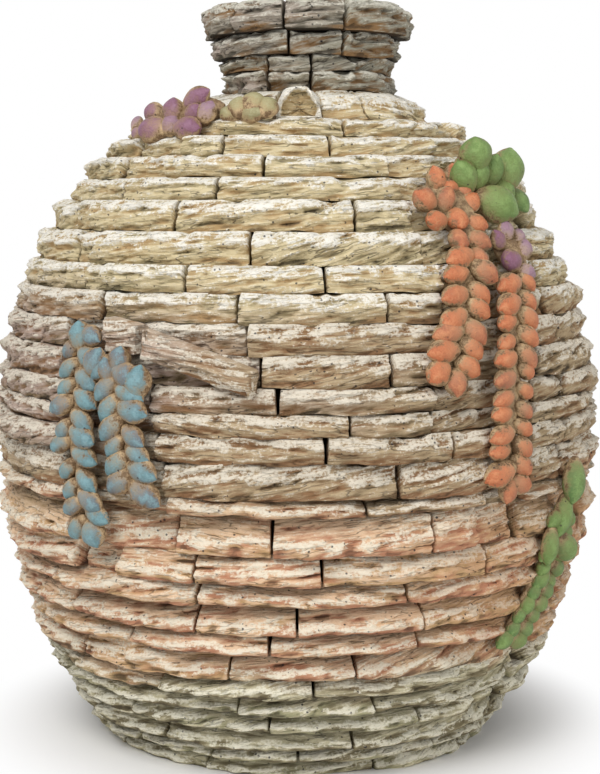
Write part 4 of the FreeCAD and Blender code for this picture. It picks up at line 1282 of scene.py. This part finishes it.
def arch_grid(low, high):
    """An arched stone in a box: rounded half outlines carried from the back over a rim into a sunk panel.

    The outline is a half circle drawn out by a power, closed along the foot of the box. The paint values
    are those of a stone, with the set-in value below 0 so that it keeps the colours of the body.
    """
    turn = np.linspace(0.0, 2.0 * math.pi, ARCH_TURNS, endpoint=False)[None, :]
    across = -np.sign(np.cos(turn)) * np.abs(np.cos(turn)) ** ARCH_POWER
    up = np.clip(np.sin(turn), 0.0, 1.0) ** ARCH_POWER
    rough = ARCH_RELIEF * layered_noise(across * 4.0 + 9.0 + 5.0 * ARCH_DEPTHS,
                                        up * 4.0 + ARCH_OUTLINES * 6.0 + 9.0 * ARCH_DEPTHS, 3, ARCH_SEED)
    width, depth, height = high - low
    panel_foot = (1.0 - ARCH_OUTLINES) * 0.35 * (ARCH_DEPTHS < 0.9)
    x = 0.5 * (low[0] + high[0]) + (0.5 * width + rough) * ARCH_OUTLINES * across
    y = low[1] + depth * ARCH_DEPTHS + rough
    z = low[2] + (height + rough) * (ARCH_OUTLINES * up + panel_foot)
    none = np.zeros_like(x)
    rim = smooth_step(ARCH_OUTLINES, 0.76, 0.80) * (ARCH_DEPTHS < 0.4) + none
    sunk = 1.0 - smooth_step(ARCH_OUTLINES, 0.73, 0.78) + none
    paint = np.stack([rim + 0.15 * sunk, 0.35 * sunk, none - 1.0, none + 0.2], axis=-1)
    return np.stack([x, y, z], axis=-1), paint, np.stack([x, z, y], axis=-1)


class VASE_OT_arch(bpy.types.Operator):
    """Build the arched stone, a raised rim round a sunk panel"""
    bl_idname = "vase.arch"
    bl_label = "Arched stone"

    def execute(self, context):
        node = "arched_stone"
        pieces = Pieces()
        pieces.tube(*arch_grid(*(np.array(corner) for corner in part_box(node))))
        finish_piece(pieces.make(f"{node}_split", ARCH_CREASE), node, material("split_stone"))
        return {"FINISHED"}


class VASE_OT_shell(bpy.types.Operator):
    """Give the cast shell its finish"""
    bl_idname = "vase.shell"
    bl_label = "Cast shell"

    def execute(self, context):
        shell = frame["nodes"]["inner_shell"]
        shell.data.materials.clear()
        shell.data.materials.append(material("cast_clay"))
        return {"FINISHED"}


def floor_material(look):
    """Pale floor that takes the vase's shadow and turns to plain white further out."""
    shader = Shader("floor")
    shader.finish(linear(look.floor), 0.9, 0.1)
    across, along, _ = shader.axes()
    seen = shader.number("ShaderNodeLightPath", {}, {}, "Is Camera Ray")
    near, far = look.floor_fade
    outer = (across * across + along * along).step(near ** 2, far ** 2)
    white = shader.node("ShaderNodeEmission", {}, {"Strength": 1.0})
    blend = shader.node("ShaderNodeMixShader", {}, {0: outer * seen, 1: shader.surface.outputs[0],
                                                    2: white.outputs[0]})
    shader.feed(shader.tree.nodes["Material Output"].inputs["Surface"], blend.outputs[0])
    return shader.material


def studio_world(look):
    """White world: full strength where it is seen, mirrored or seen through, softer as a light."""
    world = bpy.data.worlds.new("studio")
    world.use_nodes = True
    nodes = Nodes(world.node_tree)
    rays = nodes.node("ShaderNodeLightPath", {}, {}).outputs
    seen = Number(nodes, rays["Is Camera Ray"])
    seen = seen.larger(rays["Is Glossy Ray"]).larger(rays["Is Transmission Ray"])
    background = nodes.tree.nodes["Background"]
    nodes.feed(background.inputs["Color"], (1.0, 1.0, 1.0, 1.0))
    nodes.feed(background.inputs["Strength"], seen * (1.0 - look.soft_light) + look.soft_light)
    return world


class VASE_OT_stage(bpy.types.Operator):
    """Set the floor, the soft light, the white background and the camera"""
    bl_idname = "vase.stage"
    bl_label = "Stage"

    def execute(self, context):
        scene = context.scene
        look = scene.vase_looks.stage
        scene.view_settings.view_transform = "Standard"
        scene.world = studio_world(look)
        side = look.floor_side
        mesh = bpy.data.meshes.new("floor")
        corners = [(-side, -side, 0.0), (side, -side, 0.0), (side, side, 0.0), (-side, side, 0.0)]
        mesh.from_pydata(corners, [], [(0, 1, 2, 3)])
        mesh.materials.append(floor_material(look))
        floor = add_object("floor", mesh)
        for name, (place, size, power) in LAMPS.items():
            lamp = bpy.data.lights.new(name, "AREA")
            lamp.energy = power
            lamp.size = size
            light = add_object(name, lamp)
            light.location = place
            aim = LAMP_AIM - np.array(place)
            tilt = math.pi - math.acos(aim[2] / np.linalg.norm(aim))
            light.rotation_euler = (tilt, 0.0, math.atan2(aim[1], aim[0]) - 0.5 * math.pi)
        lens = bpy.data.cameras.new("camera")
        lens.lens = look.camera_lens
        lens.clip_start = 0.01
        camera = add_object("camera", lens)
        camera.location = (look.camera_side, -look.camera_distance, look.camera_height)
        camera.rotation_euler = (0.5 * math.pi - look.camera_pitch, 0.0, 0.0)
        scene.camera = camera
        return {"FINISHED"}


class VASE_PT_panel(bpy.types.Panel):
    """The vase's operators, in the order that they run"""
    bl_idname = "VASE_PT_panel"
    bl_label = "Split Stone Vase"
    bl_space_type = "VIEW_3D"
    bl_region_type = "UI"
    bl_category = "Vase"

    def draw(self, context):
        for operator in OPERATORS:
            self.layout.operator(operator.bl_idname)


OPERATORS = (VASE_OT_shell, VASE_OT_body, VASE_OT_neck, VASE_OT_slabs, VASE_OT_arch, VASE_OT_stems,
             VASE_OT_clusters, VASE_OT_stage)
CLASSES = (VASE_PG_stone, VASE_PG_paint, VASE_PG_leaf, VASE_PG_stage, VASE_PG_looks, *OPERATORS,
           VASE_PT_panel)


def register():
    """Register the classes and hang the settings on the scene."""
    for entry in CLASSES:
        bpy.utils.register_class(entry)
    bpy.types.Scene.vase_looks = bpy.props.PointerProperty(type=VASE_PG_looks)


def unregister():
    """Take the settings and the classes away again."""
    del bpy.types.Scene.vase_looks
    for entry in reversed(CLASSES):
        bpy.utils.unregister_class(entry)


def main():
    """Build the vase and its stage in order."""
    register()
    bpy.ops.vase.shell()
    bpy.ops.vase.body()
    bpy.ops.vase.neck()
    bpy.ops.vase.slabs()
    bpy.ops.vase.arch()
    bpy.ops.vase.stems()
    bpy.ops.vase.clusters()
    bpy.ops.vase.stage()


if __name__ == "__main__":
    main()
